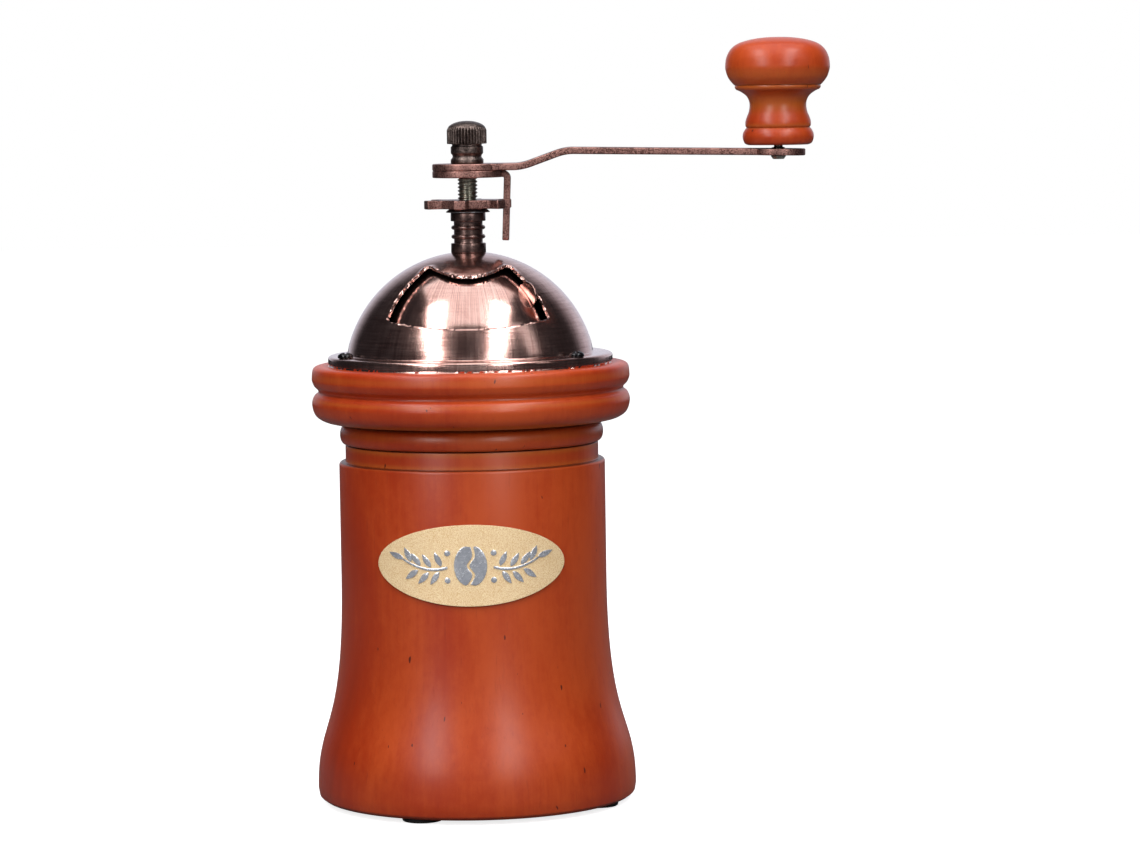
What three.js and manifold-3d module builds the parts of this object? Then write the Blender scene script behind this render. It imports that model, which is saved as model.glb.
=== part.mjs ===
// Hand-cranked burr coffee grinder: wooden jar and body, steel dome with a sliding door, star-nut
// grind adjuster, crank and knob. Millimetres, +Z up. The origin is the centre of the jar's flat
// underside, the front faces -Y and the crank arm points along +X. Azimuths are in degrees from
// the front towards +X, which is counter-clockwise seen from above.
import * as THREE from 'three';
import { mergeVertices } from 'three/addons/utils/BufferGeometryUtils.js';
import Module from 'manifold-3d';

const wasm = await Module();
wasm.setup();

// ---- driving dimensions -------------------------------------------------------------------------
const clearance = 0.3; // between pieces that fit in or on one another
const slideFit = 0.15; // round a shaft in its bearing

const jar = {
  footRadius: 44, // widest, just above the foot
  waistRadius: 36.6,
  waistHeight: 61, // where the flare has died out
  edgeRound: 2,
  shoulderHeight: 93.2,
  shoulderRound: 0.9,
  neckRadius: 34.8,
  height: 98,
  boreRadius: 31,
  floor: 7,
};
const pad = { radius: 5.5, thickness: 2, sunk: 0.7, ringRadius: 36.2, azimuths: [-23, 67, 157, 247] };
const badge = { halfWidth: 25.1, halfHeight: 11, height: 67.9, thickness: 0.55 };
const body = {
  height: 21.6, // from the jar's rim to the dome's flange
  beadPastDome: 4.6, // of the big beads, beyond the dome's flange
  beadRound: 4.8,
  edgeRound: 1.4,
  grooveDepth: 1.9,
  grooveHalfWidth: 2.5,
  grooveHeight: 14.6, // above the jar's rim, as the next three
  ledgeHeight: 6.1, // underside of the big beads
  smallBeadHeight: 5.6,
  funnelHeight: 16, // where the hopper's wall starts to slope
  smallBeadPastNeck: 1.4, // beyond the jar's neck
  spigotDepth: 8,
  spigotChamfer: 0.8,
  mouthInsideDome: 1.64,
  throatRadius: 18.5,
  seatHeight: 2, // of the burr's seat above the jar's rim
  webThickness: 4, // of wood over the seat, at the throat
};
const burr = {
  flangeRadius: 26,
  flangeThickness: 2,
  bodyRadius: 20.5,
  depth: 22, // of the fixed ring below the bridge
  teeth: 16,
  toothHeight: 0.8,
  gap: 0.8, // between the burrs, square to the axis
  mouthWall: 4.5, // at the top of the fixed ring
  coneRadius: 16.4,
  coneKneeRadius: 14.2,
  coneTopRadius: 5.4,
  coneHeight: 12,
  kneeShare: 0.35, // of the cone's height, where it starts to close in
  twist: 0.06, // turns of the tooth pattern in each millimetre of height, times the teeth
};
const bridge = { thickness: 1.5, hubRadius: 7, spokeHalfAngle: 14 };
const bush = { radius: 4, flangeRadius: 5.4, flangeThickness: 1, length: 6 };
const spring = { meanRadius: 5.6, wireRadius: 0.55, turns: 4.5 };
const burrScrew = { ringRadius: 23.3, shankRadius: 1.4, headRadius: 2.6, headHeight: 1.7, length: 8.5 };
const dome = {
  sheet: 0.8,
  flangeWidth: 4.46, // beyond the dome
  flangeHeight: 2.8,
  flangeEdge: 0.6,
  rootStep: 1.1, // from the sphere's radius in to the dome's root
  radius: 34.64,
  centreAboveSeat: -3.85,
  topFlatRadius: 5.6,
};
const opening = {
  bottomHalfWidth: 22.6,
  topHalfWidth: 11.6,
  bottomHeight: 13.1, // of the corners above the dome's seat
  topHeight: 27.3,
  sag: 1.9, // of both long edges at the middle
  bulge: 0.9, // of the side edges
  corner: 1.5,
};
const domeScrew = { pastDome: 1.86, shankRadius: 1.3, headRadius: 2.1, headHeight: 1.6, length: 7.5 };
const domeScrewAzimuths = [-67, 53, 173];
const door = {
  sheet: 0.6,
  gap: 0.5, // under the dome
  pastOpening: 1.5, // degrees, from the opening's left corner to the door's edge
  pastTab: 2.5, // degrees, from the tab to the door's other edge
  bottomBelowOpening: 3,
  hubRadius: 8.5,
  tabRadius: 3.3,
  tabHeight: 19.7, // above the dome's seat
};
const sleeve = {
  radius: 4.85,
  ribRadius: 4.75,
  grooveRadius: 4.15,
  height: 11.1,
  spigotRadius: 4,
  spigotDepth: 4.6,
};
const retainer = { radius: 6.4, thickness: 0.8, grooveRadius: 3.6, depth: 2.4 };
const nutWasher = { topRadius: 5.3, bottomRadius: 6, thickness: 1.1 };
const star = {
  tipRadius: 12.3,
  rootRadius: 8.4,
  lobeHalfWidth: 1.75,
  lobes: 6,
  firstAzimuth: -9.5,
  thickness: 2.4,
};
const shaft = { radius: 2.8, flat: 2.25, threadShown: 6.1, aboveArm: 8.2 };
const lock = {
  radius: 9.6,
  sheet: 1.9,
  fingerRadius: 11.9, // outer face at the bend
  fingerLean: 0.8, // inwards over its length
  fingerWidth: 3,
  fingerLength: 19.2,
  bendRadius: 2.2,
};
const arm = {
  sheet: 1.9,
  hubRadius: 9.6,
  hubHalfWidth: 6.5,
  endHalfWidth: 4.2,
  riseStart: 15,
  riseEnd: 26.8,
  rise: 4.2,
  droop: 1.25, // of the long part, from the rise to the knob
  length: 85.3, // shaft axis to knob axis
  endRadius: 7.4,
};
const cap = { headRadius: 5.4, baseRadius: 4.5, neckRadius: 4, height: 11.7, knurls: 18, knurlDepth: 0.3 };
const knob = {
  height: 29.4,
  capRadius: 14.3,
  lipRadius: 11.7,
  neckRadius: 7.75,
  baseRadius: 9.7,
  gap: 0.95, // over the arm
  boreRadius: 2.35,
};
const pin = { radius: 2, rivetRadius: 1.5, headRadius: 3, headHeight: 2.4, peenRadius: 2.2, peenHeight: 1 };

// ---- radii and heights that follow from them ----------------------------------------------------
const flangeRadius = dome.radius + dome.flangeWidth;
const beadRadius = flangeRadius + body.beadPastDome;
const mouthRadius = dome.radius - body.mouthInsideDome;
const shaftBore = shaft.radius + slideFit; // of whatever turns or slides on the shaft
const hubHoleRadius = sleeve.spigotRadius + slideFit; // in the dome, round the sleeve
const skySteps = Math.ceil(dome.radius / 5.8); // facets up the dome and the door, so both stay round
const rim = jar.height;
const seat = rim + body.seatHeight; // underside of the wood the bridge bears on
const bridgeUnder = seat - bridge.thickness;
const burrBottom = bridgeUnder - burr.depth;
const coneBottom = burrBottom + 0.5;
const coneTop = coneBottom + burr.coneHeight;
const domeSeat = rim + body.height;
const domeCentre = domeSeat + dome.centreAboveSeat;
const sleeveSeat = domeCentre + Math.sqrt(dome.radius ** 2 - dome.topFlatRadius ** 2);
const sleeveTop = sleeveSeat + sleeve.height;
const starUnder = sleeveTop + nutWasher.thickness;
const starTop = starUnder + star.thickness;
const lockUnder = starTop + shaft.threadShown;
const armUnder = lockUnder + lock.sheet;
const armTop = armUnder + arm.sheet;
const armEndTop = armTop + arm.rise - arm.droop;
const knobUnder = armEndTop + knob.gap;

// ---- materials ----------------------------------------------------------------------------------
const paint = (color, roughness, metalness) =>
  new THREE.MeshStandardMaterial({ color, roughness, metalness });
const wood = paint(0xa8431c, 0.35, 0);
const copper = paint(0x8a5a48, 0.28, 1);
const darkCopper = paint(0x4c3a34, 0.4, 1);
const steel = paint(0xb4b6b4, 0.35, 1);
const castIron = paint(0x4a4a4c, 0.6, 1);
const brass = paint(0xb08d4a, 0.35, 1);
const blackSteel = paint(0x18181a, 0.3, 1);
const rubber = paint(0x151515, 0.9, 0);
const gold = paint(0xcdaa66, 0.5, 0.8);

// ---- helpers ------------------------------------------------------------------------------------
const group = new THREE.Group();
const radians = THREE.MathUtils.degToRad;
const point = (x, y) => new THREE.Vector2(x, y);

// A point at an azimuth and radius, in plan.
const around = (azimuth, radius) =>
  point(Math.sin(radians(azimuth)) * radius, -Math.cos(radians(azimuth)) * radius);

// Points of an elliptical arc, angles in degrees from +X towards +Y.
const arc = (x, y, radiusX, radiusY, from, to, steps) =>
  Array.from({ length: steps + 1 }, (_, i) => radians(from + ((to - from) * i) / steps))
    .map((angle) => point(x + radiusX * Math.cos(angle), y + radiusY * Math.sin(angle)));

// A turned piece: radius and height pairs, up the outside and down the inside.
const turned = (profile, segments) => {
  const points = profile.map((p) => (p.isVector2 ? p : point(...p)));
  return new THREE.LatheGeometry(points, segments).rotateX(Math.PI / 2);
};

// A ring with a rectangular section.
const ring = (outer, inner, bottom, top, segments) =>
  turned([[inner, bottom], [outer, bottom], [outer, top], [inner, top], [inner, bottom]], segments);

// A cylinder standing on a height.
const post = (radius, bottom, top, segments) =>
  turned([[0, bottom], [radius, bottom], [radius, top], [0, top]], segments);

// A flat outline given a thickness, standing on a height.
const plate = (shape, bottom, thickness, curveSegments = 12) =>
  new THREE.ExtrudeGeometry(shape, { depth: thickness, bevelEnabled: false, curveSegments })
    .translate(0, 0, bottom);

// A side outline in X and Z given a width across Y.
const sideways = (shape, width, curveSegments = 4) =>
  new THREE.ExtrudeGeometry(shape, { depth: width, bevelEnabled: false, curveSegments })
    .rotateX(Math.PI / 2)
    .translate(0, width / 2, 0);

// An outline in X and Z cut forwards from the axis, past everything.
const forwards = (shape, curveSegments) =>
  new THREE.ExtrudeGeometry(shape, { depth: 2 * jar.footRadius, bevelEnabled: false, curveSegments })
    .rotateX(Math.PI / 2);

const solid = (geometry) => {
  const bare = geometry.clone();
  bare.deleteAttribute('normal');
  bare.deleteAttribute('uv');
  const merged = mergeVertices(bare);
  return new wasm.Manifold(
    new wasm.Mesh({
      numProp: 3,
      vertProperties: merged.attributes.position.array,
      triVerts: new Uint32Array(merged.index.array),
    }),
  );
};

const geometryOf = (manifold) => {
  const mesh = manifold.getMesh();
  const geometry = new THREE.BufferGeometry();
  geometry.setAttribute('position', new THREE.BufferAttribute(mesh.vertProperties, 3));
  geometry.setIndex(new THREE.BufferAttribute(mesh.triVerts, 1));
  geometry.computeVertexNormals();
  return geometry;
};

const without = (base, ...tools) =>
  geometryOf(tools.reduce((left, tool) => left.subtract(solid(tool)), solid(base)));
const joined = (base, ...more) => geometryOf(more.reduce((sum, next) => sum.add(solid(next)), solid(base)));
const common = (first, second) => geometryOf(solid(first).intersect(solid(second)));

const add = (name, geometry, material) => {
  const mesh = new THREE.Mesh(geometry, material);
  mesh.name = name;
  group.add(mesh);
};

// Moves a geometry's axis from the origin to a place given in plan.
const moved = (geometry, place) => geometry.translate(place.x, place.y, 0);

// ---- wooden jar, its badge and pads ---------------------------------------------------------------
const flare = new THREE.CubicBezierCurve(
  point(jar.footRadius, jar.edgeRound + 1),
  point(jar.footRadius, jar.waistHeight * 0.37),
  point(jar.waistRadius, jar.waistHeight * 0.29),
  point(jar.waistRadius, jar.waistHeight),
);

const flarePoints = flare.getPoints(8);

const jarOutside = () => [
  ...arc(jar.footRadius - jar.edgeRound, jar.edgeRound, jar.edgeRound, jar.edgeRound, -90, 0, 2),
  ...flarePoints,
  ...arc(jar.waistRadius - jar.shoulderRound, jar.shoulderHeight - jar.shoulderRound,
    jar.shoulderRound, jar.shoulderRound, 0, 90, 1),
  point(jar.neckRadius, jar.shoulderHeight),
  point(jar.neckRadius, jar.height),
];

const padPlaces = pad.azimuths.map((azimuth) => around(azimuth, pad.ringRadius));

const makeJar = () => {
  const bored = turned(
    [[0, 0], ...jarOutside(), [jar.boreRadius, jar.height], [jar.boreRadius, jar.floor], [0, jar.floor]],
    40,
  );
  const pockets = padPlaces.map((place) => moved(post(pad.radius + clearance, -1, pad.sunk, 12), place));
  return without(bored, ...pockets);
};

// The badge is the part of a thin shell round the jar that lies inside an upright ellipse.
const makeBadge = () => {
  const rise = [...flarePoints, point(jar.waistRadius, jar.shoulderHeight)];
  const offset = (distance) => rise.map((p) => point(p.x + distance, p.y));
  const outer = offset(slideFit + badge.thickness);
  const shell = turned([...outer, ...offset(slideFit).reverse(), outer[0]], 80);
  const outline = new THREE.Shape();
  outline.absellipse(0, 0, badge.halfWidth, badge.halfHeight, 0, 2 * Math.PI);
  return common(shell, forwards(outline, 18).translate(0, 0, badge.height));
};

add('lower_jar', makeJar(), wood);
add('badge', makeBadge(), gold);
padPlaces.forEach((place, i) => {
  add(`foot_pad_${i + 1}`, moved(post(pad.radius, pad.sunk - pad.thickness, pad.sunk, 16), place), rubber);
});

// ---- wooden upper body: spigot, beads, hopper funnel and burr seat ---------------------------------
const burrScrewPlaces = [0, 120, 240].map((azimuth) => around(azimuth, burrScrew.ringRadius));
const domeScrewPlaces = domeScrewAzimuths.map((azimuth) => around(azimuth, dome.radius + domeScrew.pastDome));
const burrFlangeUnder = bridgeUnder - burr.flangeThickness;
const screwTop = burrFlangeUnder + burrScrew.length;
const flangeTop = domeSeat + dome.flangeHeight;
const domeScrewBottom = flangeTop - domeScrew.length;

const makeBody = () => {
  const { beadRound, edgeRound, grooveHalfWidth, spigotChamfer, throatRadius } = body;
  const spigotRadius = jar.boreRadius - clearance;
  const spigotBottom = rim - body.spigotDepth;
  const neck = jar.neckRadius - 0.1;
  const halfBead = body.smallBeadHeight / 2;
  const ledge = rim + body.ledgeHeight;
  const groove = rim + body.grooveHeight;
  const burrBore = burr.flangeRadius + 1;
  const profile = [
    [spigotRadius - spigotChamfer, spigotBottom],
    [spigotRadius, spigotBottom + spigotChamfer],
    [spigotRadius, rim],
    ...arc(neck, rim + halfBead, body.smallBeadPastNeck + 0.1, halfBead, -90, 90, 4),
    [neck, ledge],
    ...arc(beadRadius - beadRound, ledge + beadRound, beadRound, beadRound, -90, 0, 3),
    [beadRadius, groove - grooveHalfWidth],
    [beadRadius - body.grooveDepth, groove],
    [beadRadius, groove + grooveHalfWidth],
    ...arc(beadRadius - edgeRound, domeSeat - edgeRound, edgeRound, edgeRound, 0, 90, 2),
    [mouthRadius, domeSeat],
    [mouthRadius, rim + body.funnelHeight],
    [throatRadius, seat + body.webThickness],
    [throatRadius, seat],
    [burrBore, seat],
    [burrBore, spigotBottom],
    [spigotRadius - spigotChamfer, spigotBottom],
  ];
  const burrHoles = burrScrewPlaces.map((place) =>
    moved(post(burrScrew.shankRadius + clearance, seat - 1, screwTop + clearance, 10), place));
  const domeHoles = domeScrewPlaces.map((place) =>
    moved(post(domeScrew.shankRadius + clearance, domeScrewBottom - clearance, domeSeat + 1, 10), place));
  return without(turned(profile, 40), ...burrHoles, ...domeHoles);
};

add('upper_body', makeBody(), wood);

// ---- dome with its loading opening, and its screws -------------------------------------------------
const skyArc = (radius, fromRadius, toRadius, steps) => {
  const from = THREE.MathUtils.radToDeg(Math.acos(fromRadius / radius));
  const to = THREE.MathUtils.radToDeg(Math.acos(toRadius / radius));
  return arc(0, domeCentre, radius, radius, from, to, steps);
};

const openingOutline = () => {
  const low = domeSeat + opening.bottomHeight;
  const high = domeSeat + opening.topHeight;
  const { bottomHalfWidth: wide, topHalfWidth: slim, corner, sag, bulge } = opening;
  const lean = (wide - slim) / (high - low);
  const outline = new THREE.Shape();
  const side = (s) => [s * (wide - corner * lean), low + corner, s * (slim + corner * lean), high - corner];
  const [rx0, rz0, rx1, rz1] = side(1);
  outline.moveTo(-wide + 1.6 * corner, low - 0.2);
  outline.quadraticCurveTo(0, low - 2 * sag, wide - 1.6 * corner, low - 0.2);
  outline.quadraticCurveTo(wide, low, rx0, rz0);
  outline.quadraticCurveTo((rx0 + rx1) / 2 + 2 * bulge, (rz0 + rz1) / 2 + bulge, rx1, rz1);
  outline.quadraticCurveTo(slim, high, slim - 1.2 * corner, high - 0.2);
  outline.quadraticCurveTo(0, high - 2 * sag - 1, -slim + 1.2 * corner, high - 0.2);
  outline.quadraticCurveTo(-slim, high, -rx1, rz1);
  outline.quadraticCurveTo(-(rx0 + rx1) / 2 - 2 * bulge, (rz0 + rz1) / 2 + bulge, -rx0, rz0);
  outline.quadraticCurveTo(-wide, low, -wide + 1.6 * corner, low - 0.2);
  return outline;
};

const makeDome = () => {
  const { sheet, flangeEdge, radius, topFlatRadius } = dome;
  const inner = radius - sheet;
  const root = radius - dome.rootStep;
  const profile = [
    [flangeRadius, domeSeat],
    [flangeRadius, flangeTop - flangeEdge],
    [flangeRadius - flangeEdge, flangeTop],
    [root + 0.7, flangeTop],
    ...skyArc(radius, root, topFlatRadius, skySteps),
    [hubHoleRadius, sleeveSeat],
    [hubHoleRadius, sleeveSeat - sheet],
    ...skyArc(inner, root - sheet, topFlatRadius, skySteps).reverse(),
    [root + 0.1, flangeTop - sheet],
    [flangeRadius - sheet, flangeTop - sheet],
    [flangeRadius - sheet, domeSeat],
    [flangeRadius, domeSeat],
  ];
  const holes = domeScrewPlaces.map((place) =>
    moved(post(domeScrew.shankRadius + clearance, domeSeat + 1, flangeTop + 1, 10), place));
  return without(turned(profile, 40), forwards(openingOutline(), 5), ...holes);
};

const makeDomeScrew = () =>
  turned([
    [0, domeScrewBottom],
    [domeScrew.shankRadius, domeScrewBottom + 1.2],
    [domeScrew.shankRadius, flangeTop],
    [domeScrew.headRadius, flangeTop],
    [domeScrew.headRadius, flangeTop + 0.5],
    [domeScrew.headRadius * 0.6, flangeTop + domeScrew.headHeight],
    [0, flangeTop + domeScrew.headHeight],
  ], 12);

add('dome', makeDome(), copper);
domeScrewPlaces.forEach((place, i) => add(`dome_screw_${i + 1}`, moved(makeDomeScrew(), place), blackSteel));

// ---- hopper door: a spherical shell under the dome, with a hub round the sleeve and a finger tab ----
const makeDoor = () => {
  // Azimuth at which the opening's side crosses the dome at a height above the seat.
  const sideAzimuth = (height) => {
    const share = (height - opening.bottomHeight) / (opening.topHeight - opening.bottomHeight);
    const halfWidth = THREE.MathUtils.lerp(opening.bottomHalfWidth, opening.topHalfWidth, share);
    const ringRadius = Math.sqrt(dome.radius ** 2 - (height - dome.centreAboveSeat) ** 2);
    return THREE.MathUtils.radToDeg(Math.asin(halfWidth / ringRadius));
  };
  const leftEdge = -sideAzimuth(opening.bottomHeight) - door.pastOpening;
  const tabAzimuth = sideAzimuth(door.tabHeight + 0.9 * door.tabRadius); // all of it inside the opening
  const rightEdge = tabAzimuth + door.pastTab;
  const outer = dome.radius - dome.sheet - door.gap;
  const inner = outer - door.sheet;
  const bore = sleeve.spigotRadius + clearance;
  const bottom = domeSeat + opening.bottomHeight - opening.sag - door.bottomBelowOpening;
  const reach = (radius) => Math.sqrt(radius ** 2 - (bottom - domeCentre) ** 2);
  const shell = turned(
    [...skyArc(outer, reach(outer), bore, skySteps), ...skyArc(inner, reach(inner), bore, skySteps).reverse(),
      point(reach(outer), bottom)],
    40,
  );
  const rays = [leftEdge, -20, 15, rightEdge].map((a) => around(a, 2 * dome.radius));
  const wedge = new THREE.Shape([point(0, 0), ...rays]);
  const hub = post(door.hubRadius, domeCentre, sleeveSeat, 24);
  const leaf = common(shell, joined(plate(wedge, domeSeat, dome.radius), hub));
  const rise = domeSeat + door.tabHeight - domeCentre;
  const middle = (outer + inner) / 2;
  const latitude = Math.asin(rise / middle);
  const half = new THREE.Shape();
  half.absarc(0, 0, door.tabRadius, -Math.PI / 2, Math.PI / 2);
  const tab = new THREE.ExtrudeGeometry(half, { depth: door.sheet, bevelEnabled: false, curveSegments: 8 })
    .translate(0, 0, -door.sheet / 2)
    .rotateX(Math.PI / 2)
    .rotateY(-latitude)
    .translate(middle * Math.cos(latitude), 0, domeCentre + rise)
    .rotateZ(radians(tabAzimuth - 90));
  return joined(leaf, tab);
};

add('hopper_door', makeDoor(), copper);

// ---- ribbed sleeve and the clip that holds the door up ----------------------------------------------
const makeSleeve = () => {
  const { radius, ribRadius, grooveRadius, height, spigotRadius, spigotDepth } = sleeve;
  const step = height / 10;
  const clipTop = sleeveSeat - retainer.depth;
  const profile = [
    [shaftBore, sleeveSeat - spigotDepth],
    [spigotRadius, sleeveSeat - spigotDepth],
    [spigotRadius, clipTop - retainer.thickness - 0.1],
    [retainer.grooveRadius, clipTop - retainer.thickness - 0.1],
    [retainer.grooveRadius, clipTop + 0.1],
    [spigotRadius, clipTop + 0.1],
    [spigotRadius, sleeveSeat],
    [radius, sleeveSeat],
    [radius, sleeveSeat + 2.6 * step],
    [grooveRadius, sleeveSeat + 2.7 * step],
    [grooveRadius, sleeveSeat + 3.6 * step],
    [ribRadius, sleeveSeat + 4.1 * step],
    [grooveRadius, sleeveSeat + 4.7 * step],
    [grooveRadius, sleeveSeat + 5.5 * step],
    [ribRadius, sleeveSeat + 6.1 * step],
    [grooveRadius, sleeveSeat + 6.7 * step],
    [grooveRadius, sleeveSeat + 7.9 * step],
    [radius - 0.1, sleeveSeat + 8 * step],
    [radius - 0.1, sleeveTop],
    [shaftBore, sleeveTop],
    [shaftBore, sleeveSeat - spigotDepth],
  ];
  return turned(profile, 16);
};

add('sleeve', makeSleeve(), darkCopper);
add('door_retainer',
  ring(retainer.radius, retainer.grooveRadius + slideFit, sleeveSeat - retainer.depth - retainer.thickness,
    sleeveSeat - retainer.depth, 20), steel);

// ---- burrs: teeth are waves of the radius that climb round the cone ---------------------------------
const toothed = (geometry, rises, height, twist) => {
  const place = geometry.attributes.position;
  for (let i = 0; i < place.count; i += 1) {
    const [x, y, z] = [place.getX(i), place.getY(i), place.getZ(i)];
    const radius = Math.hypot(x, y);
    if (rises(radius, z)) {
      const turn = (Math.atan2(y, x) / (2 * Math.PI)) * burr.teeth + (z - coneBottom) * twist;
      const phase = (turn + 4 * burr.teeth) % 1; // never below 0, and the same on both sides of the seam
      const scale = 1 + (height * phase) / radius;
      place.setXY(i, x * scale, y * scale);
    }
  }
  return geometry;
};

// Radius of the cone at a share of its height: steep below the knee, closing in above it.
const grindLine = (share) => {
  const { coneRadius, coneKneeRadius, coneTopRadius, kneeShare } = burr;
  if (share < kneeShare) return coneRadius + (coneKneeRadius - coneRadius) * (share / kneeShare);
  return coneKneeRadius + (coneTopRadius - coneKneeRadius) * ((share - kneeShare) / (1 - kneeShare));
};
const coneHeight = (share) => coneBottom + share * burr.coneHeight;

const makeCone = () => {
  const crest = [0, 0.18, burr.kneeShare, 0.6, 1].map((share) => [grindLine(share), coneHeight(share)]);
  const profile = [[shaftBore, coneBottom], ...crest, [shaftBore, coneTop], [shaftBore, coneBottom]];
  const cone = turned(profile, burr.teeth * 3);
  return toothed(cone, (radius) => radius > shaftBore + 1, -burr.toothHeight, burr.twist);
};

const makeBurrRing = () => {
  const { bodyRadius, gap, kneeShare } = burr;
  const mouth = bodyRadius - burr.mouthWall;
  const knee = coneHeight(kneeShare);
  const crushTop = knee + 6; // the teeth end here
  const wall = [
    [mouth, bridgeUnder],
    [grindLine(kneeShare) + gap, crushTop],
    [grindLine(kneeShare) + gap, knee],
    [grindLine(kneeShare / 2) + gap, coneHeight(kneeShare / 2)],
    [grindLine(0) + gap, burrBottom],
  ];
  const profile = [
    [bodyRadius, burrBottom],
    [bodyRadius, burrFlangeUnder],
    [burr.flangeRadius, burrFlangeUnder],
    [burr.flangeRadius, bridgeUnder],
    ...wall,
    [bodyRadius, burrBottom],
  ];
  const onTeeth = (radius, z) => radius < bodyRadius - 2 && z < crushTop + 1;
  const toothedRing = toothed(turned(profile, burr.teeth * 3), onTeeth, burr.toothHeight, -burr.twist);
  const holes = burrScrewPlaces.map((place) =>
    moved(post(burrScrew.shankRadius + clearance, burrFlangeUnder - 1, bridgeUnder + 1, 10), place));
  return without(toothedRing, ...holes);
};

const makeBridge = () => {
  const outline = new THREE.Shape();
  outline.absarc(0, 0, burr.flangeRadius, 0, 2 * Math.PI);
  const middle = new THREE.Path();
  middle.absarc(0, 0, bush.radius + clearance, 0, 2 * Math.PI);
  outline.holes.push(middle);
  const windows = [60, 180, 300].map((azimuth) => {
    const reach = 60 - bridge.spokeHalfAngle;
    const edge = [-1, -0.5, 0, 0.5, 1].map((share) => azimuth + share * reach);
    const outerEdge = edge.map((a) => around(a, body.throatRadius));
    return plate(new THREE.Shape([...outerEdge, around(azimuth, bridge.hubRadius)]), bridgeUnder - 1, 4);
  });
  const holes = burrScrewPlaces.map((place) =>
    moved(post(burrScrew.shankRadius + clearance, bridgeUnder - 1, seat + 1, 10), place));
  return without(plate(outline, bridgeUnder, bridge.thickness, 20), ...windows, ...holes);
};

const makeBush = () => {
  return turned([
    [shaftBore, seat - bush.length],
    [bush.radius, seat - bush.length],
    [bush.radius, seat],
    [bush.flangeRadius, seat],
    [bush.flangeRadius, seat + bush.flangeThickness],
    [shaftBore, seat + bush.flangeThickness],
    [shaftBore, seat - bush.length],
  ], 20);
};

const makeBurrScrew = () =>
  turned([
    [0, burrFlangeUnder - burrScrew.headHeight],
    [burrScrew.headRadius, burrFlangeUnder - burrScrew.headHeight],
    [burrScrew.headRadius, burrFlangeUnder],
    [burrScrew.shankRadius, burrFlangeUnder],
    [burrScrew.shankRadius, screwTop - 1],
    [0, screwTop],
  ], 12);

const springWasherTop = coneTop + 0.8;
const makeSpring = () => {
  class Coil extends THREE.Curve {
    getPoint(share, target = new THREE.Vector3()) {
      const angle = share * spring.turns * 2 * Math.PI;
      const low = springWasherTop + spring.wireRadius + 0.1;
      const high = bridgeUnder - spring.wireRadius - 0.1;
      return target.set(Math.cos(angle) * spring.meanRadius, Math.sin(angle) * spring.meanRadius,
        low + (high - low) * share);
    }
  }
  const section = new THREE.Shape();
  section.absarc(0, 0, spring.wireRadius, 0, 2 * Math.PI);
  return new THREE.ExtrudeGeometry(section, {
    steps: spring.turns * 12,
    extrudePath: new Coil(),
    curveSegments: 3,
    bevelEnabled: false,
  });
};

add('outer_burr', makeBurrRing(), castIron);
add('bearing_bridge', makeBridge(), steel);
add('bridge_bush', makeBush(), brass);
burrScrewPlaces.forEach((place, i) => add(`burr_screw_${i + 1}`, moved(makeBurrScrew(), place), steel));
add('inner_burr', makeCone(), castIron);
add('spring_washer', ring(7.2, shaftBore, coneTop, springWasherTop, 20), steel);
add('burr_spring', makeSpring(), steel);

// ---- shaft and what clamps the burr to it -----------------------------------------------------------
const washerBottom = coneBottom - 1.2;
const nutBottom = washerBottom - 4;

const makeShaft = () => {
  const top = armTop + shaft.aboveArm;
  const bottom = nutBottom - 2;
  const round = turned([[0, bottom], [shaft.radius - 0.6, bottom], [shaft.radius, bottom + 0.6],
    [shaft.radius, top - 0.6], [shaft.radius - 0.6, top], [0, top]], 24);
  const cut = (side) => new THREE.BoxGeometry(10, 4, top - lockUnder + 2)
    .translate(0, side * (shaft.flat + 2), (top + lockUnder + 2) / 2);
  return without(round, cut(1), cut(-1));
};

const keyedHole = (bottom, top) => {
  const bore = post(shaftBore, bottom, top, 24);
  const slot = new THREE.BoxGeometry(10, 2 * (shaft.flat + slideFit), top - bottom)
    .translate(0, 0, (top + bottom) / 2);
  return common(bore, slot);
};

const makeHexNut = () => {
  const corners = [0, 60, 120, 180, 240, 300].map((azimuth) => around(azimuth, 5.8));
  return without(plate(new THREE.Shape(corners), nutBottom, washerBottom - nutBottom),
    post(shaftBore, nutBottom - 1, washerBottom + 1, 20));
};

add('shaft', makeShaft(), steel);
add('burr_washer', ring(8, shaftBore, washerBottom, coneBottom, 20), steel);
add('burr_nut', makeHexNut(), steel);

// ---- star nut, its washer, and the lock plate whose finger stands between two lobes ------------------
// Straight-sided lobes with round-bottomed valleys between them.
const makeStar = () => {
  const pitch = 360 / star.lobes;
  const half = THREE.MathUtils.radToDeg(Math.asin(star.lobeHalfWidth / star.tipRadius));
  const depth = star.tipRadius - star.rootRadius;
  const flank = [[half, 1], [half, 0.38], [half * 1.3, 0.1], [half * 1.7, 0]];
  const corners = Array.from({ length: star.lobes }, (_, i) => {
    const azimuth = star.firstAzimuth + i * pitch;
    const side = (s) => flank.map(([turn, share]) =>
      around(azimuth + s * turn, star.rootRadius + share * depth));
    return [...side(-1).reverse(), ...side(1)];
  });
  return without(plate(new THREE.Shape(corners.flat()), starUnder, star.thickness),
    post(shaftBore, starUnder - 1, starTop + 1, 24));
};

const makeNutWasher = () =>
  turned([
    [shaftBore, sleeveTop],
    [nutWasher.bottomRadius, sleeveTop],
    [nutWasher.topRadius, starUnder],
    [shaftBore, starUnder],
    [shaftBore, sleeveTop],
  ], 20);

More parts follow.
